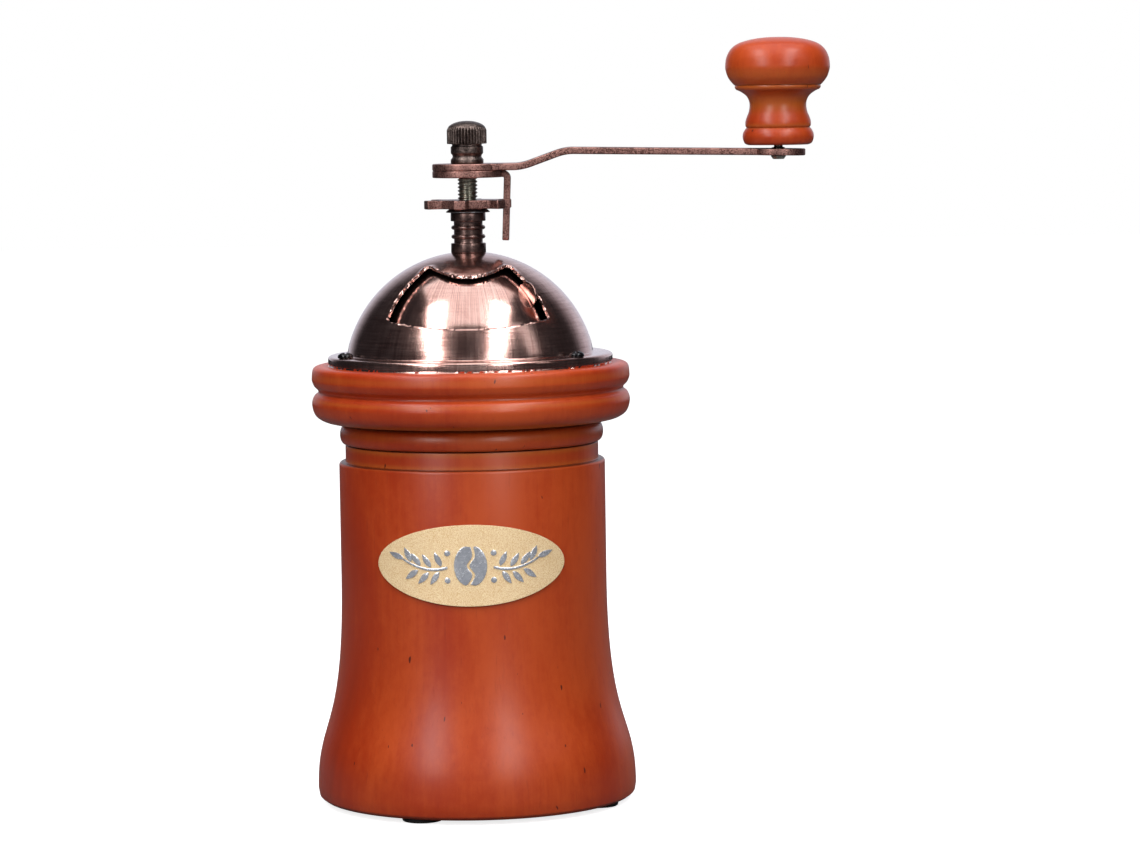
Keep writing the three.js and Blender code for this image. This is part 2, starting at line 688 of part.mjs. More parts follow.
const makeLockPlate = () => {
  const { radius, sheet, fingerRadius, fingerLean, fingerWidth, fingerLength, bendRadius } = lock;
  const top = lockUnder + sheet;
  const foot = top - fingerLength;
  const disc = post(radius, lockUnder, top, 32);
  const side = new THREE.Shape();
  side.moveTo(radius - 4, lockUnder);
  side.lineTo(radius - 4, top);
  side.lineTo(fingerRadius - bendRadius, top);
  side.absarc(fingerRadius - bendRadius, top - bendRadius, bendRadius, Math.PI / 2, 0, true);
  side.lineTo(fingerRadius - fingerLean, foot);
  side.lineTo(fingerRadius - fingerLean - sheet, foot);
  side.lineTo(fingerRadius - sheet, lockUnder - 0.3);
  side.lineTo(fingerRadius - sheet - 0.3, lockUnder);
  return without(joined(disc, sideways(side, fingerWidth)), keyedHole(lockUnder - 1, top + 1));
};

add('nut_washer', makeNutWasher(), steel);
add('star_nut', makeStar(), darkCopper);
add('lock_plate', makeLockPlate(), copper);

// ---- crank arm: its side outline, kept inside its plan outline ---------------------------------------
const makeArm = () => {
  const { sheet, hubRadius, riseStart, riseEnd, rise, droop, length, endRadius } = arm;
  const far = length + endRadius + 1;
  const slope = droop / (length - riseEnd);
  const line = [[-hubRadius - 1, armUnder], [riseStart, armUnder], [riseEnd, armUnder + rise],
    [far, armUnder + rise - slope * (far - riseEnd)]].map((p) => point(...p));
  const side = new THREE.Shape([...line, ...line.map((p) => point(p.x, p.y + sheet)).reverse()]);
  const low = armUnder - 2;
  const height = sheet + rise + 4;
  const bar = plate(new THREE.Shape([point(0, -arm.hubHalfWidth), point(length, -arm.endHalfWidth),
    point(length, arm.endHalfWidth), point(0, arm.hubHalfWidth)]), low, height);
  const plan = joined(bar, post(hubRadius, low, low + height, 32), post(endRadius, low, low + height, 28)
    .translate(length, 0, 0));
  return without(common(sideways(side, 3 * hubRadius), plan), keyedHole(low - 1, low + height + 1),
    post(pin.rivetRadius + slideFit, low - 1, low + height + 1, 16).translate(length, 0, 0));
};

// ---- cap nut: knurled head on a waisted neck, blind bore ---------------------------------------------
const makeCap = () => {
  const { headRadius, baseRadius, neckRadius, height, knurls, knurlDepth } = cap;
  const headUnder = armTop + height * 0.53;
  const body = turned([
    [shaftBore, armTop],
    [baseRadius, armTop],
    [baseRadius, armTop + 2],
    [neckRadius, armTop + 3],
    [baseRadius - 0.1, armTop + 4],
    [baseRadius - 0.1, headUnder],
    [headRadius, headUnder + 0.7],
    [headRadius, armTop + height - 2.1],
    ...arc(0, armTop + height - 1.5, headRadius - 0.8, 1.5, 0, 90, 3),
    [0, armTop + shaft.aboveArm + 1],
    [shaftBore, armTop + shaft.aboveArm + 1],
    [shaftBore, armTop],
  ], knurls * 2);
  const place = body.attributes.position;
  for (let i = 0; i < place.count; i += 1) {
    const [x, y] = [place.getX(i), place.getY(i)];
    const turn = Math.round((Math.atan2(y, x) / Math.PI) * knurls);
    if (Math.hypot(x, y) > headRadius - 0.01 && turn % 2 !== 0) {
      place.setXY(i, x * (1 - knurlDepth / headRadius), y * (1 - knurlDepth / headRadius));
    }
  }
  return body;
};

add('crank_arm', makeArm(), copper);
add('cap_nut', makeCap(), darkCopper);

// ---- knob and the rivet it turns on -------------------------------------------------------------------
const makeKnob = () => {
  const { height, capRadius, lipRadius, neckRadius, baseRadius, boreRadius } = knob;
  const chamber = pin.headRadius + 0.4;
  const up = (share) => knobUnder + height * share;
  const profile = [
    [boreRadius, knobUnder],
    [baseRadius - 1.2, knobUnder],
    [baseRadius, up(0.06)],
    [baseRadius, up(0.1)],
    [baseRadius - 1.05, up(0.16)],
    [baseRadius - 0.85, up(0.2)],
    [neckRadius + 0.3, up(0.29)],
    [neckRadius, up(0.36)],
    [neckRadius + 1.2, up(0.44)],
    [lipRadius, up(0.53)],
    ...arc(capRadius - 4.6, up(0.75), 4.6, height * 0.17, -60, 60, 5),
    [capRadius * 0.4, up(0.985)],
    [0, up(1)],
    [0, pinHeadTop + 0.5],
    [chamber, pinHeadTop + 0.5],
    [chamber, pinHeadTop - pin.headHeight - 0.4],
    [boreRadius, pinHeadTop - pin.headHeight - 0.4],
    [boreRadius, knobUnder],
  ];
  return turned(profile, 22).translate(arm.length, 0, 0);
};

const pinHeadTop = knobUnder + knob.height * 0.75;
const makePin = () => {
  const under = armEndTop - arm.sheet;
  const drop = arm.droop / (arm.length - arm.riseEnd) * 3; // the arm's slope under the collar and the peen
  return turned([
    [0, under - drop - pin.peenHeight],
    [pin.peenRadius * 0.6, under - drop - pin.peenHeight],
    [pin.peenRadius, under - drop],
    [pin.rivetRadius, under - drop],
    [pin.rivetRadius, armEndTop + drop],
    [pin.headRadius, armEndTop + drop],
    [pin.headRadius, knobUnder - slideFit],
    [pin.radius, knobUnder - slideFit],
    [pin.radius, pinHeadTop - pin.headHeight],
    [pin.headRadius, pinHeadTop - pin.headHeight],
    [pin.headRadius * 0.7, pinHeadTop],
    [0, pinHeadTop],
  ], 16).translate(arm.length, 0, 0);
};

add('knob', makeKnob(), wood);
add('knob_pin', makePin(), steel);

export default group;
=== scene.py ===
import math

import bmesh
import bpy
from mathutils import Matrix, Vector
from mathutils.geometry import interpolate_bezier


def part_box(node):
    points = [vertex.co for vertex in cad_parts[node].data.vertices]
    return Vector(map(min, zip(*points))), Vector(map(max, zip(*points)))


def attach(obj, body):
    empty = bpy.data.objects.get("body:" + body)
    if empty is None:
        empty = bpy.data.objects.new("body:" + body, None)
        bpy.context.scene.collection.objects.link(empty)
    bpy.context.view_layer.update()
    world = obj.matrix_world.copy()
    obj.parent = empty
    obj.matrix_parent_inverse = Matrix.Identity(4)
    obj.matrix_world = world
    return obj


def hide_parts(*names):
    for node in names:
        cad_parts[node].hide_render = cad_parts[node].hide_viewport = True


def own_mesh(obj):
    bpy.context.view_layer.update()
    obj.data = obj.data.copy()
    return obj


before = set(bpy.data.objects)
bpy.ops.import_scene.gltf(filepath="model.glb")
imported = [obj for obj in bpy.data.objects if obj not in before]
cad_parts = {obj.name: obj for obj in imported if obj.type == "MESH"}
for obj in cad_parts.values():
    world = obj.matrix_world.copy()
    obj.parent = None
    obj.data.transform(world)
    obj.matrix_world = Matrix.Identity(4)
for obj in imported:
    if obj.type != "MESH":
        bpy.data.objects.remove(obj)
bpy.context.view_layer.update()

mm = 0.001


def low(node):
    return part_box(node)[0] / mm


def high(node):
    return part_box(node)[1] / mm


# ---- outlines

def around(azimuth, radius, height=0.0):
    turn = math.radians(azimuth)
    return Vector((math.sin(turn) * radius, -math.cos(turn) * radius, height))


def arc(x, y, radiusX, radiusY, start, end, steps):
    turns = [math.radians(start + (end - start) * i / steps) for i in range(steps + 1)]
    return [(x + radiusX * math.cos(turn), y + radiusY * math.sin(turn)) for turn in turns]


def bezier(*points, steps=12):
    # a curve from a start to an end, bent by one or two points between them
    first, *middle, last = [Vector((p[0], p[1], 0)) for p in points]
    if len(middle) == 1:
        middle = [first.lerp(middle[0], 2 / 3), last.lerp(middle[0], 2 / 3)]
    return [(p.x, p.y) for p in interpolate_bezier(first, *middle, last, steps + 1)]


def through(points, steps=6):
    # a smooth curve through every point
    ends = [points[0], *points, points[-1]]
    curve = []
    for before, start, end, after in zip(ends, ends[1:], ends[2:], ends[3:]):
        pull = [(end[i] - before[i]) / 6 for i in (0, 1)]
        push = [(after[i] - start[i]) / 6 for i in (0, 1)]
        handles = (start[0] + pull[0], start[1] + pull[1]), (end[0] - push[0], end[1] - push[1])
        curve += bezier(start, *handles, end, steps=steps)[:-1]
    return [*curve, points[-1]]


def rounded(corners, closed=False, steps=4):
    # corners are (x, y) or (x, y, radius of the round)
    outline = []
    for i, (x, y, *radius) in enumerate(corners):
        corner = Vector((x, y))
        ended = not closed and i in (0, len(corners) - 1)
        if ended or not radius:
            outline.append((x, y))
            continue
        toBefore = Vector(corners[i - 1][:2]) - corner
        toAfter = Vector(corners[(i + 1) % len(corners)][:2]) - corner
        half = toBefore.angle(toAfter) / 2
        reach = min(radius[0] / math.tan(half), toBefore.length * 0.49, toAfter.length * 0.49)
        start = corner + toBefore.normalized() * reach
        end = corner + toAfter.normalized() * reach
        centre = corner + (toBefore.normalized() + toAfter.normalized()).normalized() * reach / math.cos(half)
        turn = (start - centre).angle_signed(end - centre)
        for k in range(steps + 1):
            outline.append(tuple(centre + Matrix.Rotation(-turn * k / steps, 2) @ (start - centre)))
    return outline


# ---- meshes

def spun(bm, outline, steps=144, closed=False, start=0, angle=360):
    # turns (radius, height) points about the Z axis
    verts = [bm.verts.new(around(start, radius, height)) for radius, height in outline]
    edges = [bm.edges.new(pair) for pair in zip(verts, verts[1:])]
    if closed:
        edges.append(bm.edges.new((verts[-1], verts[0])))
    bmesh.ops.spin(bm, geom=verts + edges, cent=(0, 0, 0), axis=(0, 0, 1), angle=math.radians(angle),
                   steps=steps, use_merge=angle == 360)
    bmesh.ops.remove_doubles(bm, verts=bm.verts, dist=1e-4)
    bmesh.ops.recalc_face_normals(bm, faces=bm.faces)


def turnedMesh(outline, steps=144, closed=False):
    bm = bmesh.new()
    spun(bm, outline, steps, closed)
    return bm


def slab(bm, outline, bottom, top, edge=0.0, edgeSteps=2):
    # a flat outline in X and Y given a thickness, with rounded edges
    face = bm.faces.new([bm.verts.new((x, y, bottom)) for x, y in outline])
    bmesh.ops.recalc_face_normals(bm, faces=[face])
    grown = bmesh.ops.extrude_face_region(bm, geom=[face])["geom"]
    lifted = [part for part in grown if isinstance(part, bmesh.types.BMVert)]
    bmesh.ops.translate(bm, vec=(0, 0, top - bottom), verts=lifted)
    bmesh.ops.recalc_face_normals(bm, faces=bm.faces)
    if edge:
        rims = [e for e in bm.edges if abs(e.verts[0].co.z - e.verts[1].co.z) < 1e-6
                and e.calc_face_angle(0) > math.radians(60)]
        bmesh.ops.bevel(bm, geom=rims, offset=edge, segments=edgeSteps, affect="EDGES", profile=0.5,
                        material=-1)


def sliced(bm, axis, places):
    # cuts across the mesh, so that it can bend there
    normal = [0, 0, 0]
    normal[axis] = 1
    for place in places:
        point = [0, 0, 0]
        point[axis] = place
        parts = [*bm.verts, *bm.edges, *bm.faces]
        bmesh.ops.bisect_plane(bm, geom=parts, plane_co=point, plane_no=normal, dist=1e-5)


def joined(bm, part):
    # adds a second mesh to the first
    shape = bpy.data.meshes.new("part")
    part.to_mesh(shape)
    part.free()
    bm.from_mesh(shape)
    bpy.data.meshes.remove(shape)


def finished(bm, name, body, finish, nodes, wall=0.0, edge=0.0, crease=38, weighted=False, lining=None):
    bmesh.ops.scale(bm, vec=(mm, mm, mm), verts=bm.verts)
    for face in bm.faces:
        face.smooth = True
    for link in bm.edges:
        link.smooth = len(link.link_faces) != 2 or link.calc_face_angle(0) < math.radians(crease)
    mesh = bpy.data.meshes.new(name)
    bm.to_mesh(mesh)
    bm.free()
    mesh.materials.append(finish)
    piece = bpy.data.objects.new(name, mesh)
    bpy.context.scene.collection.objects.link(piece)
    if wall:
        sheet = piece.modifiers.new("wall", "SOLIDIFY")
        sheet.thickness, sheet.offset = wall * mm, -1
        if lining:
            mesh.materials.append(lining)
            sheet.material_offset = 1
    if edge:
        rim = piece.modifiers.new("edge", "BEVEL")
        rim.width, rim.segments, rim.limit_method, rim.angle_limit = edge * mm, 3, "ANGLE", math.radians(50)
    if weighted:
        piece.modifiers.new("normals", "WEIGHTED_NORMAL").keep_sharp = True
    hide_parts(*nodes)
    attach(piece, body)
    return piece


# ---- shader nodes

class Wire:
    # an output socket that can stand in a sum
    def __init__(self, graph, socket):
        self.graph, self.socket = graph, socket

    def maths(self, operation, *values):
        return self.graph.node("ShaderNodeMath", {"operation": operation}, dict(enumerate(values)))

    def __add__(self, other):
        return self.maths("ADD", self, other)

    def __sub__(self, other):
        return self.maths("SUBTRACT", self, other)

    def __rsub__(self, other):
        return self.maths("SUBTRACT", other, self)

    def __mul__(self, other):
        return self.maths("MULTIPLY", self, other)

    def __truediv__(self, other):
        return self.maths("DIVIDE", self, other)

    def __abs__(self):
        return self.maths("ABSOLUTE", self)

    __radd__, __rmul__ = __add__, __mul__


class Graph:
    def __init__(self, tree):
        self.tree = tree
        tree.nodes.clear()

    def node(self, kind, settings=None, inputs=None, output=0):
        made = self.tree.nodes.new(kind)
        for key, value in (settings or {}).items():
            setattr(made, key, value)
        for key, value in (inputs or {}).items():
            if isinstance(value, Wire):
                self.tree.links.new(value.socket, made.inputs[key])
            else:
                made.inputs[key].default_value = value
        return Wire(self, made.outputs[output]) if len(made.outputs) else made

    def parts(self, vector):
        split = self.node("ShaderNodeSeparateXYZ", inputs={0: vector}).socket.node
        return [Wire(self, socket) for socket in split.outputs]

    def mix(self, factor, first, second):
        return self.node("ShaderNodeMix", {"data_type": "RGBA"}, {0: factor, 6: first, 7: second}, 2)

    def step(self, value, start, end, first=0.0, last=1.0):
        # runs smoothly from first to last as value goes from start to end
        return self.node("ShaderNodeMapRange", {"interpolation_type": "SMOOTHSTEP"},
                         {0: value, 1: start, 2: end, 3: first, 4: last})

    def noise(self, place, scale=1.0, detail=2.0, roughness=0.5, distortion=0.0):
        return self.node("ShaderNodeTexNoise", {}, {"Vector": place, "Scale": scale, "Detail": detail,
                                                    "Roughness": roughness, "Distortion": distortion})


def colour(code):
    # linear colour from a hex code
    parts = [int(code[i:i + 2], 16) / 255 for i in (0, 2, 4)]
    return (*[c / 12.92 if c <= 0.04045 else ((c + 0.055) / 1.055) ** 2.4 for c in parts], 1.0)


class Finish(Graph):
    def __init__(self, name):
        self.material = bpy.data.materials.new(name)
        self.material.use_nodes = True
        super().__init__(self.material.node_tree)
        self.place = self.node("ShaderNodeTexCoord", output="Object")
        self.facing = self.node("ShaderNodeTexCoord", output="Normal")

    def stretched(self, x, y, z, centre=0.0):
        # Object coordinates, with the piece's axis moved to the origin and each way scaled by itself
        return self.node("ShaderNodeMapping", {"vector_type": "POINT"},
                         {"Vector": self.place, "Location": (-centre * x, 0, 0), "Scale": (x, y, z)})

    def wrapped(self, about, up):
        # coordinates that follow a turned piece: even round the axis, and even up it
        x, y, z = self.parts(self.stretched(1, 1, 1))
        radius = self.node("ShaderNodeMath", {"operation": "SQRT"}, {0: x * x + y * y + 1e-9})
        return self.node("ShaderNodeCombineXYZ",
                         inputs={0: x / radius * about, 1: y / radius * about, 2: z * up})

    def bands(self, places):
        # places hold (height, half width, share) in mm: how much of a band a height is in
        height = self.parts(self.place)[2]
        total = 0.0
        for level, halfWidth, share in places:
            total = self.step(abs(height - level * mm), 0.0, halfWidth * mm, share, 0.0) + total
        return total

    def bump(self, height, depth, strength=1.0, under=None):
        inputs = {"Height": height, "Distance": depth, "Strength": strength}
        if under:
            inputs["Normal"] = under
        return self.node("ShaderNodeBump", {}, inputs)

    def done(self, sockets):
        shader = self.node("ShaderNodeBsdfPrincipled", {}, sockets)
        self.node("ShaderNodeOutputMaterial", {}, {"Surface": shader})
        return self.material


# ---- finishes

# the golden tone is painted highlight; the pore tone serves the pores and also the painted shade in the
# creases
woodTones = {"deep": colour("6e1c09"), "red": colour("a2300d"), "warm": colour("b9481b"),
             "paintedHighlight": colour("bb6424"), "poreAndShade": colour("36100a")}


def woodFinish(name, paintedHighlightBands, shadedCreases, centre=0.0):
    # stained and lacquered, with the grain up the piece; two lists of bands: painted highlight where the
    # rounds catch the light, and painted shade in the creases, which at the rim is also the dark joint
    f = Finish(name)
    fibres = f.noise(f.stretched(700, 700, 26, centre), detail=4, roughness=0.6)
    drift = f.noise(f.stretched(30, 30, 9, centre), detail=3, distortion=0.6)
    mottle = f.noise(f.stretched(420, 420, 300, centre), detail=3, roughness=0.7)
    pores = f.step(f.noise(f.stretched(620, 620, 240, centre), detail=1), 0.765, 0.80)
    fleck = f.step(f.noise(f.stretched(1900, 1900, 160, centre), detail=2), 0.60, 0.78)
    tone = f.step(drift + (fibres - 0.5) * 0.2 + (mottle - 0.5) * 0.25, 0.32, 0.68)
    paint = f.mix(tone, woodTones["red"], woodTones["warm"])
    paint = f.mix(f.step(drift, 0.36, 0.24) * 0.6, paint, woodTones["deep"])
    # painted highlight: golden bands where the turned rounds catch the light, broken up by the grain
    paint = f.mix(f.bands(paintedHighlightBands) * (0.55 + fibres * 0.9), paint, woodTones["paintedHighlight"])
    # painted shade: dark bands in the creases, and at the rim also the dark joint between jar and body
    paint = f.mix(f.bands(shadedCreases) * (0.8 + mottle * 0.4), paint, woodTones["poreAndShade"])
    paint = f.mix(pores * 0.85 + fleck * 0.12, paint, woodTones["poreAndShade"])
    sheen = 0.36 + (mottle - 0.5) * 0.12 + fleck * 0.1
    relief = f.bump(fibres + fleck * 0.6, 0.00003, 0.35)
    relief = f.bump(mottle, 0.00005, 0.3, relief)
    return f.done({"Base Color": paint, "Roughness": sheen, "Normal": relief, "Coat Weight": 0.16,
                   "Coat Roughness": 0.3, "Specular IOR Level": 0.34})


copperTones = {"bright": colour("e2bbb1"), "rose": colour("b98a80"), "brown": colour("5e413c"),
               "soot": colour("1f1716")}


def brushedFinish(name, about, up, cross, shine=0.2, soot=0.35):
    # antiqued copper sheet, brushed mostly one way: about and up set how fine the strokes are each way
    f = Finish(name)
    strokes = f.noise(f.wrapped(about, up), detail=5, roughness=0.7)
    across = f.noise(f.wrapped(up / 30, about * 12), detail=4, roughness=0.7)
    cloud = f.noise(f.stretched(90, 90, 70), detail=4, roughness=0.55, distortion=0.8)
    lines = strokes * (1 - cross) + across * cross
    tone = f.step(lines + (cloud - 0.5) * 0.5, 0.36, 0.66)
    paint = f.mix(tone, copperTones["rose"], copperTones["bright"])
    paint = f.mix(f.step(lines, 0.50, 0.34) * soot, paint, copperTones["brown"])
    scratch = f.step(f.noise(f.wrapped(about * 2.2, up * 2.2), detail=2), 0.70, 0.76)
    paint = f.mix(scratch * 0.35, paint, copperTones["brown"])
    relief = f.bump(lines, 0.000022, 0.28)
    sheen = shine + (lines - 0.5) * 0.24 + (cloud - 0.5) * 0.1
    return f.done({"Base Color": paint, "Metallic": 1.0, "Roughness": sheen, "Normal": relief,
                   "Coat Weight": 0.6, "Coat Roughness": 0.09})


def plateFinish(name, dark):
    # antiqued copper plate: smooth faces, and mottled edges where the blanks were stamped
    f = Finish(name)
    x, y, z = f.parts(f.facing)
    side = f.step(abs(z), 0.75, 0.45)
    grit = f.noise(f.stretched(2600, 2600, 2600), detail=4, roughness=0.75)
    cloud = f.noise(f.stretched(260, 260, 260), detail=3)
    blotch = f.step(grit + (cloud - 0.5) * 0.3, 0.40, 0.56)
    face = f.mix(f.step(cloud + (grit - 0.5) * 0.3, 0.35, 0.65), copperTones["brown"], copperTones["rose"])
    rough = f.mix(blotch, copperTones["brown"], copperTones["rose"])
    paint = f.mix(dark, f.mix(side, face, rough), copperTones["soot"])
    sheen = 0.34 + side * 0.12 + (grit - 0.5) * 0.2
    return f.done({"Base Color": paint, "Metallic": 1.0, "Roughness": sheen,
                   "Normal": f.bump(grit, 0.00006, 0.4)})


def metalFinish(name, light, dark, rough, fine=900.0, relief=0.00003, metallic=1.0, wear=0.5):
    # cast, plated or machined metal with a faint mottle and turning marks
    f = Finish(name)
    grit = f.noise(f.stretched(fine, fine, fine), detail=4, roughness=0.7)
    cloud = f.noise(f.stretched(fine / 6, fine / 6, fine / 6), detail=3)
    turning = f.noise(f.wrapped(3, fine * 3), detail=3, roughness=0.65)
    tone = f.step(grit * 0.5 + cloud * 0.3 + turning * 0.2, 0.5 - wear / 4, 0.5 + wear / 4)
    paint = f.mix(tone, colour(dark), colour(light))
    bumps = f.bump(grit + turning * 0.6, relief, 0.5)
    sheen = rough + (grit - 0.5) * 0.2 + (cloud - 0.5) * 0.1
    return f.done({"Base Color": paint, "Metallic": metallic, "Roughness": sheen, "Normal": bumps})


def sandedGold(name):
    f = Finish(name)
    grain = f.noise(f.stretched(3600, 3600, 3600), detail=3, roughness=0.7)
    cloud = f.noise(f.stretched(300, 300, 300), detail=2)
    x, y, z = f.parts(f.facing)
    # painted shade: the plate's sideways-facing wall is painted dark brown, standing for the shade along its
    # edge
    wall = f.step(abs(y), 0.62, 0.35)
    paint = f.mix(f.step(grain + (cloud - 0.5) * 0.1, 0.38, 0.62), colour("e6bf88"), colour("ffe6bb"))
    paint = f.mix(wall * f.step(abs(x), 0.95, 0.7), paint, colour("5a2f12"))
    return f.done({"Base Color": paint, "Metallic": 0.12, "Roughness": 0.5 + (grain - 0.5) * 0.3,
                   "Normal": f.bump(grain, 0.00008, 0.5)})


rim = high("lower_jar").z
domeSeat = high("upper_body").z
knobAxis = (low("knob").x + high("knob").x) / 2
knobFoot = low("knob").z

# each finish gets bands of painted highlight and bands of painted shade in its creases; on the jar and body
# the rim crease is also the dark joint
jarWood = woodFinish("stained wood, jar", paintedHighlightBands=[(rim - 0.4, 1.6, 0.55), (rim - 4.4, 1.2, 0.45)],
                     shadedCreases=[(rim, 0.5, 0.9), (rim - 4.85, 0.35, 0.85)])
bodyWood = woodFinish("stained wood, body", paintedHighlightBands=[(rim + 6.2, 1.5, 0.75), (rim + 3.6, 1.8, 0.25),
                                                        (rim + 12.6, 0.9, 0.3), (domeSeat - 2.6, 1.4, 0.25)],
                      shadedCreases=[(rim, 0.45, 0.9), (rim + 5.6, 0.6, 0.55), (rim + 14.5, 0.5, 0.4)])
knobWood = woodFinish("stained wood, knob", centre=knobAxis * mm,
                      paintedHighlightBands=[(knobFoot + 15.9, 1.2, 0.6), (knobFoot + 19.0, 3.5, 0.35),
                                (knobFoot + 5.2, 1.2, 0.45), (knobFoot + 11.5, 4.0, 0.6)],
                      shadedCreases=[(knobFoot + 16.35, 0.25, 0.35), (knobFoot + 4.7, 0.3, 0.3)])
domeCopper = brushedFinish("brushed copper, dome", 160, 60, cross=0.45)
doorCopper = brushedFinish("brushed copper, door", 260, 40, cross=0.2, shine=0.15, soot=0.45)
# painted shade: the dome's inside is painted near black, standing for the shade inside the dome
darkToned = metalFinish("blackened inside", "2a1f1c", "120d0c", rough=0.55, fine=700, metallic=0.6)
sleeveCopper = metalFinish("blackened copper", "8c716a", "352a2a", rough=0.3, fine=700, wear=0.8)
plateCopper = plateFinish("antique copper plate", 0.1)
starCopper = plateFinish("antique copper, star nut", 0.25)
gunmetal = metalFinish("gunmetal", "7d6e68", "3d3432", rough=0.4, fine=1500, relief=0.00004)
zinc = metalFinish("zinc plated steel", "c3c3b6", "7d7d72", rough=0.3, fine=1600)
greySteel = metalFinish("dull steel", "9b9da0", "6b6d70", rough=0.42, fine=1200)
blackSteel = metalFinish("black screw", "1b1b1e", "08080a", rough=0.2, fine=900, metallic=0.5)
castIron = metalFinish("ground cast iron", "6c6b69", "2f2f30", rough=0.5, fine=1300, relief=0.0001)
brass = metalFinish("brass", "c9a35a", "8a6a30", rough=0.3)
rubber = metalFinish("rubber", "191919", "0b0b0b", rough=0.72, fine=1500, metallic=0.0, relief=0.00008)
badgeGold = sandedGold("sanded gold plate")
badgeSilver = metalFinish("bright silver", "e6e9ef", "c2c7d0", rough=0.25, fine=1400, relief=0.00001,
                          metallic=0.7)
print("finishes made")


# ---- jar

jar = {"foot": high("lower_jar").x, "waist": 36.6, "waistHeight": 61, "edge": 2.0, "shoulder": 93.2,
       "neck": 34.8, "bore": 31.0, "floor": 7.0}


def flareCurve(steps):
    # up the outside of the jar, from above its foot to its waist
    return bezier((jar["foot"], jar["edge"] + 1), (jar["foot"], jar["waistHeight"] * 0.37),
                  (jar["waist"], jar["waistHeight"] * 0.29), (jar["waist"], jar["waistHeight"]), steps=steps)


def jarRadius(height):
    for (r0, z0), (r1, z1) in zip(jarCurve, jarCurve[1:]):
        if z0 <= height <= z1:
            return r0 + (r1 - r0) * (height - z0) / (z1 - z0)
    return jar["waist"]


jarCurve = flareCurve(60)


def makeJar():
    cavity = rounded([(0, jar["floor"]), (jar["bore"], jar["floor"], 2.5), (jar["bore"], rim, 0.4),
                      (jar["neck"], rim)])
    shoulder = rounded([(jar["waist"], jar["waistHeight"] + 1), (jar["waist"], jar["shoulder"], 0.9),
                        (jar["neck"], jar["shoulder"], 0.25), (jar["neck"], rim, 0.4), (jar["bore"], rim)])
    foot = rounded([(0, 0), (jar["foot"] - 1.6, 0), (jar["foot"] - 0.35, 0.9, 0.8),
                    (jar["foot"], jar["edge"] + 1)])
    outline = [*foot[:-1], *flareCurve(40), *shoulder[1:-1], *cavity[-2::-1]]
    finished(turnedMesh(outline, 160), "turned_jar", "jar", jarWood, ["lower_jar"])


makeJar()


def makePad(number):
    node = f"foot_pad_{number}"
    bottom, top = low(node), high(node)
    centre = (bottom + top) / 2
    radius = (top.x - bottom.x) / 2
    bm = turnedMesh(rounded([(0, bottom.z), (radius, bottom.z, 0.5), (radius, -0.01), (0, -0.01)]), 48)
    bmesh.ops.translate(bm, vec=(centre.x, centre.y, 0), verts=bm.verts)
    finished(bm, f"felted_pad_{number}", "jar", rubber, [node])


for number in range(1, 5):
    makePad(number)
print("jar made")


# ---- badge: a thin plate wrapped on the jar, with a bean between two sprigs

badge = {"halfWidth": high("badge").x, "halfHeight": (high("badge").z - low("badge").z) / 2,
         "height": (low("badge").z + high("badge").z) / 2, "gap": 0.15, "thickness": 0.5, "relief": 0.22,
         "rings": (0.985, 0.93, 0.85, 0.75, 0.64, 0.52, 0.4, 0.28, 0.16, 0.06)}    # shares of the oval


def wrapOnJar(bm, lift):
    # a flat mesh in X and Z, whose Y is its depth, is laid round the jar
    for vert in bm.verts:
        x, depth, z = vert.co
        radius = jarRadius(z) + lift - depth
        vert.co = (x, -math.sqrt(max(radius ** 2 - x ** 2, 0)), z)


def makeBadgePlate():
    bm = bmesh.new()
    ring = bmesh.ops.create_circle(bm, segments=160, radius=1)["verts"]
    edges = list({e for v in ring for e in v.link_edges})
    for share in badge["rings"]:
        grown = bmesh.ops.extrude_edge_only(bm, edges=edges)["geom"]
        verts = [part for part in grown if isinstance(part, bmesh.types.BMVert)]
        for vert in verts:
            vert.co = vert.co.normalized() * share
        edges = [part for part in grown if isinstance(part, bmesh.types.BMEdge)]
    bmesh.ops.edgenet_fill(bm, edges=edges)
    for vert in bm.verts:
        vert.co = (vert.co.x * badge["halfWidth"], 0, badge["height"] + vert.co.y * badge["halfHeight"])
    wrapOnJar(bm, badge["gap"] + badge["thickness"])
    bmesh.ops.recalc_face_normals(bm, faces=bm.faces)
    if sum(face.normal.y for face in bm.faces) > 0:
        bmesh.ops.reverse_faces(bm, faces=bm.faces)
    finished(bm, "badge_plate", "jar", badgeGold, ["badge"], wall=badge["thickness"],
             edge=0.12)


def motifPart(bm, outline):
    # one raised shape, cut across so that it follows the jar
    part = bmesh.new()
    slab(part, outline, 0, badge["relief"], edge=0.07)
    for axis in (0, 1):
        ends = [point[axis] for point in outline]
        pieces = max(1, round((max(ends) - min(ends)) / 0.9))
        sliced(part, axis, [min(ends) + (max(ends) - min(ends)) * k / pieces for k in range(1, pieces)])
    for vert in part.verts:
        vert.co = (vert.co.x, -vert.co.z, badge["height"] + vert.co.y)
    wrapOnJar(part, badge["gap"] + badge["thickness"] - 0.03)
    bmesh.ops.recalc_face_normals(part, faces=part.faces)
    joined(bm, part)


def placed(outline, x, y, turn, flip=1):
    spin = Matrix.Rotation(math.radians(turn), 2)
    moved = [spin @ Vector(p) for p in outline]
    return [(flip * (p.x + x), p.y + y) for p in moved][::flip]


